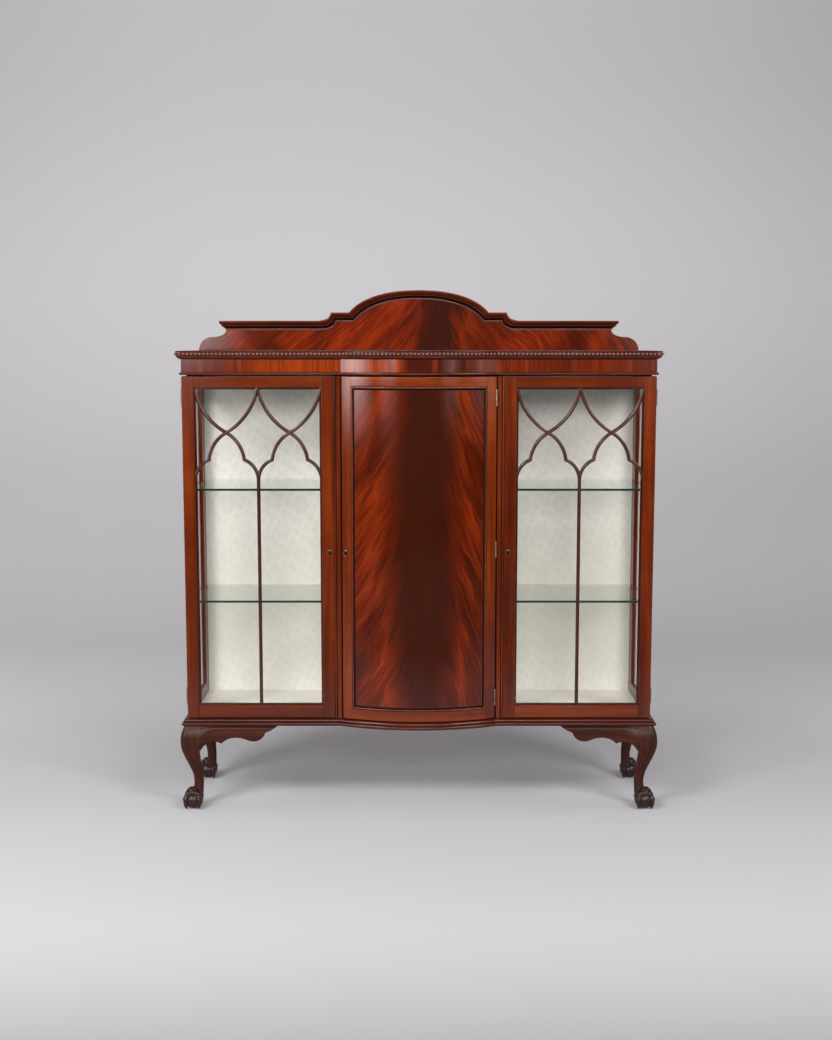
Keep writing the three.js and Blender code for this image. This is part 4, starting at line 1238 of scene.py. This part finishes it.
def hinge_leaf(side, spans, root):
    """A leaf that lies on one side of the joint, with knuckles over its spans of height."""
    near, far = side * DOOR_GAP / 2, side * (DOOR_GAP / 2 + 1.2 * MM)
    tip = root + LEAF_WIDTH

    def plate(outline):
        return loft([[(u, w, z) for u, z in outline] for w in (near, far)])

    parts = [plate(rounded_block(root, -HINGE_HALF, tip, HINGE_HALF, 0.5 * MM, 2))]
    for z0, z1 in spans:
        u0, u1 = 1.2 * MM, root + 0.5 * MM
        parts.append(plate([(u0, z0), (u1, z0), (u1, z1), (u0, z1)]))
        parts.append(knuckle(z0, z1))
    for z, share in ((-HINGE_HALF * 0.66, 0.35), (0, 0.65), (HINGE_HALF * 0.66, 0.35)):
        parts.append(screw(mix(root, tip, share), near, z, -side))
    return parts


def hinge(label, i, x, y, into, across, offset):
    """Both leaves of a butt hinge, as the CAD model places them, with pins and screws."""
    lo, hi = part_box(f"hinge_{i}_case_leaf_{label}")
    place = Matrix((into, across, Vector(into).cross(Vector(across)))).transposed().to_4x4()
    place.translation = (x, y, (lo.z + hi.z) / 2)
    third, gap, root = HINGE_HALF / 3, FIT / 2, offset + FIT
    case_leaf = hinge_leaf(1, ((third + gap, HINGE_HALF), (-HINGE_HALF, -third - gap)), root)
    case_leaf += [ball_tip(HINGE_HALF, 1), ball_tip(-HINGE_HALF, -1)]
    door_leaf = hinge_leaf(-1, ((-third + gap, third - gap),), root)
    for part, body, parts in (("case", "case", case_leaf), ("door", f"door_{label}", door_leaf)):
        shape = placed(joined(*parts), lambda *p: place @ Vector(p))
        node = f"hinge_{i}_{part}_leaf_{label}"
        piece(f"hinge_{i}_{part}_plate_{label}", shape, body, "brass", STEEL, None, node, angle=30)


def hinges():
    out, forward = 3 * MM, 3.2 * MM
    y = FACE_Y + DOOR_THICK + DOOR_GAP / 2
    for side, name in SIDES:
        for i in (1, 2):
            hinge(name, i, side * (HALF_CASE + out), y, (-side, 0, 0), (0, 1, 0), out)
    for i in (1, 2, 3):
        hinge("centre", i, HALF_CUPBOARD - DOOR_GAP / 2, FACE_Y - forward, (0, 1, 0), (1, 0, 0), forward)


# ---------------- keyhole plates

PLATE_WIDTH, PLATE_HEIGHT, PLATE_DROP = 5.0, 8.5, 2.0
HOLE_MIDDLE = -1.2
RIM_INNER = 0.84


def hole_reach(dx, dz):
    """How far the keyhole reaches from its middle in a direction, in mm."""
    reach = 0.0
    for r in linspace(0.2, 8, 157):
        x, z = dx * r, HOLE_MIDDLE + dz * r
        if hypot(x, z) < KEY_BARREL or (abs(x) < KEY_SLOT and -KEY_DROP < z < 0):
            reach = r
    return reach


def keyhole_plate(name, x, y, turn):
    """A small oval plate with a raised rim round a keyhole."""
    outline = [(cos(t), sin(t)) for t in circle(44)]
    hole = [(dx * hole_reach(dx, dz), HOLE_MIDDLE + dz * hole_reach(dx, dz)) for dx, dz in outline]
    loops = []
    for share, rise in ((1.0, 0.1), (1.0, 0.8), (0.9, 1.2), (0.78, 1.1), (0.7, 0.85)):
        width, height = PLATE_WIDTH * share, PLATE_HEIGHT * share
        loops.append([(width * dx, -rise, -PLATE_DROP + height * dz) for dx, dz in outline])
    for grown_x, grown_z, rise in ((1.12, 1.04, 0.75), (1, 1, 0.6), (1, 1, 0.1)):
        loops.append([(px * grown_x, -rise, pz * grown_z) for px, pz in hole])
    c, s = cos(turn), sin(turn)

    def place(u, v, w):
        return (x + (u * c - v * s) * MM, y + (u * s + v * c) * MM, KEY_Z + w * MM)

    shape, node = placed(loft(loops, around=True), place), f"keyhole_plate_{name}"
    plate = piece(f"escutcheon_{name}", shape, f"door_{name}", "steel", STEEL, None, node, angle=50)

    def inside_rim(face):
        away = face.center - Vector((x, y, KEY_Z - PLATE_DROP * MM))
        return hypot(away.x / PLATE_WIDTH, away.z / PLATE_HEIGHT) / MM <= RIM_INNER

    touch(plate, BRONZE, inside_rim)


def keyhole_plates():
    for _, name in SIDES:
        lo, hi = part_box(f"keyhole_plate_{name}")
        keyhole_plate(name, (lo.x + hi.x) / 2, FACE_Y, 0.0)
    keyhole_plate("centre", BOW_KEY_X, bow_y(BOW_KEY_X), asin(BOW_KEY_X / BOW_RADIUS))


# ---------------- legs and aprons

LEG_TOP = high("leg_front_right").z
ANKLE_Z, KNEE_Z = 70 * MM, 184 * MM
FOOT_MID = -9 * MM
FOOT_TOP = 54 * MM


def leg_size(z):
    """How far a leg's outer and inner faces stand out from its corner, and how square it is."""
    ankle_out, ankle_in = -10.5 * MM, -35.8 * MM
    knee_out, post_out, post_in = 20.6 * MM, 9 * MM, -35 * MM
    if z < ANKLE_Z:
        t = (ANKLE_Z - z) / (ANKLE_Z - 34 * MM)
        return ankle_out + 6 * MM * t**2, ankle_in + 1 * MM * t, 2.2
    if z < KNEE_Z:
        t = (z - ANKLE_Z) / (KNEE_Z - ANKLE_Z)
        outer = mix(ankle_out, knee_out, float(smooth(t)))
        inner = mix(ankle_in, post_in, t) + 6.5 * MM * sin(pi * t * t)
        return outer, inner, mix(2.2, 3.4, t * t)
    t = (z - KNEE_Z) / (LEG_TOP - KNEE_Z)
    return mix(knee_out, post_out, t * t), post_in, mix(3.4, 5, t)


def tube(points, radii):
    """A closed tube through points with a radius at each."""
    points = [Vector(p) for p in points]
    loops = []
    for i, p in enumerate(points):
        along = (points[min(i + 1, len(points) - 1)] - points[max(i - 1, 0)]).normalized()
        a = along.cross(Vector((0, 0, 1)) if abs(along.z) < 0.95 else Vector((1, 0, 0))).normalized()
        b = along.cross(a)
        loops.append([p + (a * cos(t) + b * sin(t)) * radii[i] for t in circle(14)])
    return loft(loops)


def smooth_line(points, values, count):
    """Catmull-Rom through points, with values read along it."""
    points, values = np.array(points, float), np.array(values, float)
    result, sizes = [], []
    last = len(points) - 1
    for s in linspace(0, last, count):
        i = min(int(s), last - 1)
        t = s - i
        p0, p1, p2, p3 = (points[max(0, min(last, i + k))] for k in (-1, 0, 1, 2))
        bow, twist = 2 * p0 - 5 * p1 + 4 * p2 - p3, 3 * p1 - p0 - 3 * p2 + p3
        result.append(0.5 * (2 * p1 + (p2 - p0) * t + bow * t**2 + twist * t**3))
        sizes.append(mix(values[i], values[i + 1], float(smooth(t))))
    return result, sizes


def claw_foot():
    """Knuckled toes with talons and webs of skin gripping a ball, round an upright axis, in mm."""
    ball_r, ball_z = 23.0, 22.5
    rings = [(ball_r * cos(a), ball_z + ball_r * sin(a)) for a in linspace(-1.5, 1.5, 26)]
    parts = [lathe(rings, 40)]
    toe = [(5, 50), (11, 45), (17.5, 41.5), (22.0, 35.5), (25.4, 29.0), (26.2, 20), (25.2, 11), (22.0, 3.6)]
    toe_radii = (8.6, 7.4, 8.6, 6.4, 7.4, 5.4, 4.4, 2.8)
    web, web_radii = ((4, 50), (11, 44), (16, 36)), (9, 8, 4)
    for path, radii, first, count in ((toe, toe_radii, pi / 4, 40), (web, web_radii, 0, 16)):
        for turn in first + circle(4):
            line = [(r * cos(turn), r * sin(turn), z) for r, z in path]
            parts.append(tube(*smooth_line(line, radii, count)))
    return joined(*parts)


def leg_shaft():
    """The shaft of a leg with its corner at the origin: round below and square above."""
    heights = [*linspace(36 * MM, KNEE_Z, 60), *linspace(KNEE_Z, LEG_TOP, 18)[1:]]
    loops = []
    for z in heights:
        outer, inner, square = leg_size(z)
        middle, half = (outer + inner) / 2, (outer - inner) / 2
        ring = []
        for t in circle(48):
            c, s = cos(t), sin(t)
            corner = square + 12 * float(smooth((z - 150 * MM) / (30 * MM))) * (c * s < 0)
            x = math.copysign(abs(c) ** (2 / corner), c)
            y = math.copysign(abs(s) ** (2 / corner), s)
            ring.append((middle + half * x, middle + half * y, z))
        loops.append(ring)
    return loft(loops)


def leg_mesh():
    """One leg, grown together, with its outward sides towards +X and +Y."""
    foot = placed(claw_foot(), lambda x, y, z: (x * MM + FOOT_MID, y * MM + FOOT_MID, z * MM))
    blank = make("leg_blank", *joined(leg_shaft(), foot))
    remesh = blank.modifiers.new("remesh", "REMESH")
    remesh.mode = "VOXEL"
    remesh.voxel_size = 0.9 * MM
    relax = blank.modifiers.new("relax", "SMOOTH")
    relax.factor = 0.5
    relax.iterations = 3
    bake_modifiers(blank)
    verts = [(v.co.x, v.co.y, min(max(v.co.z, 0.0), LEG_TOP)) for v in blank.data.vertices]
    faces = [tuple(p.vertices) for p in blank.data.polygons]
    bpy.data.objects.remove(blank)
    return verts, faces


def legs():
    leg = leg_mesh()
    for depth, way in (("front", -1), ("back", 1)):
        outer_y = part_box(f"leg_{depth}_right")[way > 0].y
        corner_y = outer_y - way * 21 * MM
        for side, name in SIDES:
            shape = placed(leg, lambda x, y, z: (side * (HALF_CASE + x), corner_y + way * y, z))
            obj = piece(
                f"cabriole_{depth}_{name}", shape, "case", "carved_wood", LEG_WOOD, along_z,
                f"leg_{depth}_{name}", angle=180,
            )
            touch(obj, CARVED_WOOD, lambda face: face.center.z < FOOT_TOP)


def ear_line(hollow):
    """Lower edge of an apron next to a leg, from the leg to its hollow: across and down, in mm."""
    return arc((0, 64), (34, 42), -66, 8) + arc((54, 48.5), hollow, -48, 10)


def front_drops(length):
    """Lower edge of a front apron: an ear, a belly and a cusp before it dies away."""
    hollow, belly, cusp = np.array((90, 33.0)), np.array((139, 43.0)), np.array((169, 20.0))
    c1, c2 = np.array((belly[0] - 20, hollow[1])), np.array((belly[0] - 20, belly[1]))
    line = ear_line(hollow)
    for t in linspace(0, 1, 15)[1:]:
        s = 1 - t
        line.append(s**3 * hollow + 3 * s**2 * t * c1 + 3 * s * t**2 * c2 + t**3 * belly)
    return np.array(line + arc(belly, cusp, 0, 10)[1:] + arc(cusp, (length, 0), -22, 8)[1:])


def side_drops(length):
    """Lower edge of a side apron: an ear at both ends."""
    half = ear_line((length / 2, 28))
    return np.array(half + [np.array((length - p[0], p[1])) for p in half[-2::-1]])


def apron(name, drops, length, place, grain, both_ends):
    """A shaped apron. Its face is rounded back at the top and swells out to meet the knees."""
    node = f"apron_{name}"
    top, proud, thick, into_leg, lip = high(node).z, 8.0, 22.0, 2.6, 0.94
    knee_reach, top_set_back, top_round, lip_round = 46, 5.0, 11, 1.6
    across = np.unique(np.concatenate([[-into_leg], linspace(0, length, 150), drops[:, 0]]))
    if both_ends:
        across = np.append(across, length + into_leg)
    rows = [*linspace(0, lip, 22), 0.97, 0.99, 1.0]
    loops = []
    for u, drop in zip(across, np.interp(across, drops[:, 0], drops[:, 1])):
        near = min(u, length - u) if both_ends else u
        share = float(smooth(1 - near / knee_reach))
        front, back = [], []
        for w in rows:
            z = top - w * max(drop, 0.05) * MM
            knee = leg_size(max(z, KNEE_Z))[0] / MM - 0.3
            body = proud - top_set_back * (1 - smooth((top - z) / MM / top_round)) ** 1.5
            face = mix(body, max(knee, body), share)
            if w > lip:
                face -= lip_round * (1 - sqrt(max(0.0, 1 - ((w - lip) / (1 - lip)) ** 2)))
            front.append(place(u, face, z))
            back.append(place(u, proud - thick, z))
        loops.append(front + back[::-1])
    shaped = name.replace("_", "_shaped_")
    piece(f"apron_{shaped}", loft(loops), "case", "carved_wood", LEG_WOOD, grain, node, angle=40)


def aprons():
    for side, name in SIDES:
        lo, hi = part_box(f"apron_front_{name}")
        start, length = max(abs(lo.x), abs(hi.x)), 204
        apron(
            f"front_{name}", front_drops(length), length,
            lambda u, out, z: (side * (start - u * MM), FACE_Y - out * MM, z), along_x, False,
        )
        lo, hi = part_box(f"apron_side_{name}")
        length = (hi.y - lo.y) / MM
        apron(
            f"side_{name}", side_drops(length), length,
            lambda u, out, z: (side * (HALF_CASE + out * MM), lo.y + u * MM, z), along_y, True,
        )


# ---------------- board and cap on top

ARCH_HEIGHT, STEP_TOP, WING_TOP = 164.0, 103.5, 81.0
STEP_END, STEP_START, STEP_COVE = 242.0, 192.0, 38.0
ARCH_SPAN, ARCH_ROUND = 210.5, 2.25
CAP_HEIGHT, CAP_LEAN = 24.0, 0.6
BOARD_THICK = 18.0
SHOULDER_REACH, SHOULDER_HEIGHT, SHOULDER_WIDTH = 607.0, 37.0, 37.0
NECK_WIDTH, NECK_HEIGHT = 39.0, 19.0
NECK_X = SHOULDER_REACH - SHOULDER_WIDTH - NECK_WIDTH


def cap_line(drop, reach):
    """The cap's top line lowered by drop, from tip to tip: across, and up from the cornice."""
    steps = 40
    drawn = drop * CAP_LEAN
    start = STEP_START - drawn

    def fall(x):
        return 1 - (1 - (x / (ARCH_SPAN - drawn)) ** ARCH_ROUND) ** (1 / ARCH_ROUND)

    depth = (ARCH_HEIGHT - STEP_TOP) / fall(start)
    arch = [start * i / steps for i in range(1, steps + 1)]
    half = [np.array((x, ARCH_HEIGHT - depth * fall(x))) for x in arch]
    half += quarter((STEP_END + STEP_COVE - drawn, STEP_TOP), (-STEP_COVE, 0), (0, WING_TOP - STEP_TOP), 12)
    half.append(np.array((reach, WING_TOP)))
    whole = [p * (-1, 1) for p in half[::-1]] + [np.array((0, ARCH_HEIGHT))] + half
    return [p - (0, drop) for p in whole]


def cap_profile():
    """The section of the cap, in mm: how far out of the board and how far down from its top."""
    profile = [(-17.6, 0.3), (15.6, 0.0), (17.2, 0.5), (18.0, 1.8), (18.0, 3.4)]
    for t in linspace(0.2, pi / 2, 7):
        profile.append((18.0 - 3.2 * sin(t) ** 2, mix(3.4, 10.0, t / (pi / 2))))
    profile += [(13.6, 10.3), (10.8, 10.6), (10.6, 12.2)]
    profile += [(mix(12.8, 4.4, float(smooth(t))), mix(12.5, 19.6, t)) for t in linspace(0, 1, 9)]
    profile += [(1.6, 19.9), (1.4, 21.1), (3.4, 21.4), (3.5, 22.4), (3.2, 23.4), (1.6, 23.9)]
    return profile + [(0.2, CAP_HEIGHT), (-17.6, CAP_HEIGHT)]


def cap():
    """The moulding round the top board, returned to the back at both ends."""
    profile = cap_profile()
    back, front = BACK_Y - 0.1 * MM, BACK_Y - BOARD_THICK * MM
    loops = []
    for out, drop in profile:
        line = cap_line(drop, NECK_X + out)
        depths = [back, *[min(front - out * MM, back)] * len(line), back]
        points = [line[0], *line, line[-1]]
        loops.append([(p[0] * MM, y, CORNICE_TOP + p[1] * MM) for p, y in zip(points, depths)])
    rows, count = len(loops), len(loops[0])
    faces = []
    for r in range(rows):
        a, b = r * count, (r + 1) % rows * count
        faces += [(a + i, a + i + 1, b + i + 1, b + i) for i in range(count - 1)]
    faces += [[r * count + i for r in range(rows)] for i in (0, count - 1)]
    shape = [p for ring in loops for p in ring], faces
    finish = ("case", "mahogany", MOULDING_WOOD, along_x, "pediment_cap")
    obj = piece("crest_moulding", shape, *finish, angle=28)

    def between(*bands):
        """Chooses the faces whose middle of the section lies in one of the bands of drop."""
        drops = [(a[1] + b[1]) / 2 for a, b in zip(profile, profile[1:])]
        chosen = [i for i, drop in enumerate(drops) if any(a < drop < b for a, b in bands)]
        return lambda face: face.index // (count - 1) in chosen

    # Painted shade and painted highlight: the quirks and the down-facing lower half of the cyma get the
    # near-black wax and shade wood, and the fillet and beads the lighter bead mahogany as highlights.
    touch(obj, WAX_AND_PAINTED_SHADE, between((10.4, 12.4), (15.5, 21.3)))
    touch(obj, BEAD_WOOD, between((0.2, 3.5), (12.4, 15.5), (21.3, 23.9)))


def crest_board():
    """The board under the cap, with a hollow neck and a round shoulder at both ends."""
    seat = cap_line(CAP_HEIGHT + 0.3, NECK_X)
    neck_centre = (NECK_X + NECK_WIDTH, SHOULDER_HEIGHT + NECK_HEIGHT)
    neck = quarter(neck_centre, (-NECK_WIDTH, 0), (0, -NECK_HEIGHT), 12)
    shoulder_centre = (SHOULDER_REACH - SHOULDER_WIDTH, 0)
    shoulder = quarter(shoulder_centre, (0, SHOULDER_HEIGHT), (SHOULDER_WIDTH, 0), 14)
    end = neck + shoulder[1:-1] + [np.array((SHOULDER_REACH, 0.3))]
    outline = [p * (-1, 1) for p in end[::-1]] + seat + end
    depths = (BACK_Y - BOARD_THICK * MM, BACK_Y)
    shape = loft([[(p[0] * MM, y, CORNICE_TOP + p[1] * MM) for p in outline] for y in depths])
    obj = make("crest_board", *shape)
    bevel = obj.modifiers.new("edge", "BEVEL")
    bevel.width = 0.9 * MM
    bevel.segments = 2
    bevel.limit_method = "ANGLE"
    bevel.angle_limit = radians(50)
    bake_modifiers(obj)
    dress(obj, "case", "figured_veneer", CREST, along_z, "pediment_board", angle=30)
    touch(obj, CARCASS_WOOD, lambda face: face.normal.y > 0.9)


# ---------------- back


def back_boards():
    """Upright boards with a V joint between them, screwed to the case."""
    lo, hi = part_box("back_board")
    count, gap, vee = 8, 0.1 * MM, 1.6 * MM
    width = (hi.x - lo.x) / count
    for i in range(count):
        x0, x1 = lo.x + i * width, lo.x + (i + 1) * width
        section = [(x0 + gap, lo.y), (x1 - gap, lo.y), (x1 - gap, hi.y - vee)]
        section += [(x1 - vee, hi.y), (x0 + vee, hi.y), (x0 + gap, hi.y - vee)]
        shape = loft([[(x, y, z) for x, y in section] for z in (lo.z, hi.z)])
        finish = ("case", "carcass_wood", CARCASS_WOOD, along_z, "back_board")
        piece(f"back_plank_{i + 1}", shape, *finish)
    inset = 14 * MM
    head = [(2.6 * MM, -0.4 * MM), (2.6 * MM, -0.1 * MM), (1.6 * MM, 0.0)]
    parts = []
    for z in (lo.z + inset, (lo.z + hi.z) / 2, hi.z - inset):
        for i in range(2 * count):
            x = lo.x + (i + 0.5) * width / 2
            parts.append(lathe(head, 16, lambda u, v, h: (x + u, hi.y + h, z + v)))
    piece("back_screws", joined(*parts), "case", "brass", STEEL)


# ---------------- kept CAD nodes


def clothe(node, material):
    """A CAD node that stays gets its material."""
    mesh = frame["nodes"][node].data
    mesh.materials.clear()
    mesh.materials.append(material)


def kept_nodes():
    for _, name in SIDES:
        clothe(f"lining_{name}", DAMASK)
        clothe(f"side_glass_{name}", CLEAR)
        clothe(f"door_glass_{name}", CLEAR)
    for i in (1, 2):
        clothe(f"cupboard_shelf_{i}", SHELF_WOOD)
    for name in ("left", "right", "centre"):
        clothe(f"lock_{name}", BRASS)
        clothe(f"lock_bolt_{name}", BRASS)


# ---------------- studio


def studio_paper():
    """Pale paper with painted light and shade: dark on the floor near the camera, lightest just behind the
    case, changing with height up the walls and a little darker towards the right.
    """
    paint = Paint("studio_paper")
    x, y, z = paint.xyz()
    near = y.fade(-2.15, -0.8, (1.0, 0.0))
    level = y.fade(-2.15, -0.8, (0.07, 0.54)) + near * z.fade(0.2, 2.0, (0.0, 0.42))
    level = level + y.fade(0.3, 1.1, (0.0, 0.1)) - y.fade(1.3, 2.9, (0.0, 0.11))
    level = level - z.fade(0.0, 0.6, (0.0, 0.05)) + abs(z - 1.5).fade(0.0, 1.6, (0.07, 0.0))
    level = level * x.fade(-3.0, 3.0, (1.05, 0.93))
    colour = paint.vector(level, level * 0.98, level * 1.01)
    return paint.shaded({"Base Color": colour, "Roughness": 0.9, "Specular IOR Level": 0.15})


def backdrop():
    """A floor that curves up into walls behind and beside the case, with round corners."""
    reach_x, reach_y, cove, near_edge, height = 5.6, 4.6, 2.6, -7.0, 7.0
    turns = linspace(0, pi / 2, 25)
    profile = [(-cove + cove * sin(t), cove * (1 - cos(t))) for t in turns] + [(0.0, height)]
    rows = []
    for out, z in profile:
        corner = []
        for t in linspace(0, pi / 2, 17):
            x = reach_x - cove + (cove + out) * cos(t)
            corner.append((x, reach_y - cove + (cove + out) * sin(t), z))
        half = [(reach_x + out, near_edge, z)] + corner
        rows.append([(-x, y, z) for x, y, z in half] + half[::-1])
    count = len(rows[0])
    faces = sheet_faces(len(rows), count)
    faces.append(tuple(range(count)))
    obj = make("studio_sweep", [p for row in rows for p in row], faces)
    obj.data.materials.append(studio_paper())
    obj.data.shade_smooth()


def soften(light, soft):
    """Lets a lamp fade towards its edges over a share of its width."""
    light.use_nodes = True
    nodes = Nodes(light.node_tree)
    across, up, _ = nodes.parts(nodes.value("Parametric", "ShaderNodeNewGeometry"))
    strength = across.fade(0.0, soft) * across.fade(1.0, 1.0 - soft)
    strength = strength * up.fade(0.0, soft) * up.fade(1.0, 1.0 - soft)
    nodes.tree.links.new(strength.socket, nodes.tree.nodes["Emission"].inputs["Strength"])


def softbox(name, place, target, size, level, spread=180, soft=0.0):
    """Level is how brightly it lights a white card at its target that faces it."""
    light = bpy.data.lights.new(name, "AREA")
    light.shape = "RECTANGLE"
    light.size, light.size_y = size
    light.spread = radians(spread)
    towards = Vector(target) - Vector(place)
    light.energy = level * pi**2 * towards.length_squared
    if soft:
        light.energy /= (1 - soft) ** 2
        soften(light, soft)
    obj = bpy.data.objects.new(name, light)
    bpy.context.scene.collection.objects.link(obj)
    obj.location = place
    obj.rotation_euler = towards.to_track_quat("-Z", "Y").to_euler()
    obj.visible_camera = False


def lamps():
    """Soft boxes in front of the case and at both sides, and a wash on the backdrop."""
    softbox("key", (0, -4.7, 2.2), (0, 0, 0.8), (2.2, 0.9), 0.33)
    softbox("key_left", (-1.8, -4.35, 2.15), (0, 0, 0.8), (1.2, 0.9), 0.09)
    softbox("key_right", (1.8, -4.35, 2.15), (0, 0, 0.8), (1.2, 0.9), 0.06)
    softbox("high_left", (-2.4, -3.3, 3.4), (0, 0, 0.3), (1.5, 1.1), 0.43)
    softbox("high_right", (2.4, -3.3, 3.4), (0, 0, 0.3), (1.5, 1.1), 0.33)
    softbox("left_box", (-3.1, -3.1, 1.35), (0, 0, 0.9), (2.6, 1.5), 0.24, soft=0.5)
    softbox("right_box", (2.9, -3.2, 2.4), (0, 0, 0.8), (1.8, 1.2), 0.1, soft=0.4)
    softbox("right_low", (3.1, -3.1, 1.35), (0, 0, 0.9), (2.6, 1.5), 0.032, soft=0.5)
    softbox("side_left", (-3.7, -0.5, 2.3), (0, 0, 0.6), (1.8, 1.3), 0.14)
    softbox("side_right", (3.7, -0.5, 2.3), (0, 0, 0.6), (1.8, 1.3), 0.12)
    softbox("left_reflector", (-1.65, -4.25, 1.5), (-0.3, 0, 1.2), (1.5, 2.0), 0.038, soft=0.45)
    softbox("right_reflector", (1.7, -4.25, 1.6), (0.3, 0, 1.2), (1.4, 2.0), 0.034, soft=0.45)
    softbox("left_glint", (-1.35, -4.25, 1.35), (-0.5, 0, 1.2), (0.8, 0.7), 0.017, soft=0.5)
    softbox("right_glint", (1.35, -4.25, 1.55), (0.5, 0, 1.2), (0.8, 0.6), 0.013, soft=0.5)
    softbox("backdrop_wash", (-0.1, 1.0, 5.4), (-0.1, 4.6, 1.8), (6.0, 1.0), 0.21, spread=110)


def world():
    """A faint even light from all round."""
    sky = bpy.data.worlds.new("studio")
    bpy.context.scene.world = sky
    sky.use_nodes = True
    background = sky.node_tree.nodes["Background"]
    background.inputs["Color"].default_value = (0.5, 0.5, 0.51, 1)
    background.inputs["Strength"].default_value = 0.11


def camera():
    focal_px, frame_px, sensor = 1410.0, 1040.0, 36.0
    distance, height, aside, tilt = 3.63, 1.224, -0.0077, 7.06
    data = bpy.data.cameras.new("camera")
    data.sensor_width = sensor
    data.lens = focal_px / frame_px * sensor
    obj = bpy.data.objects.new("camera", data)
    bpy.context.scene.collection.objects.link(obj)
    obj.location = (aside, FACE_Y - distance, height)
    obj.rotation_euler = (radians(90 - tilt), 0, 0)
    bpy.context.scene.camera = obj


# ---------------- everything

case_mouldings()
frieze()
cornice()
cornice_carving()
side_frames()
partitions()
for side, name in SIDES:
    glazed_door(side, name)
bowed_door()
tracery()
for i in (1, 2):
    for side, name in SIDES[::-1]:
        glass_shelf(i, side, name)
hinges()
keyhole_plates()
legs()
aprons()
cap()
crest_board()
back_boards()
kept_nodes()
backdrop()
lamps()
world()
camera()

bpy.context.scene.view_settings.view_transform = "Standard"
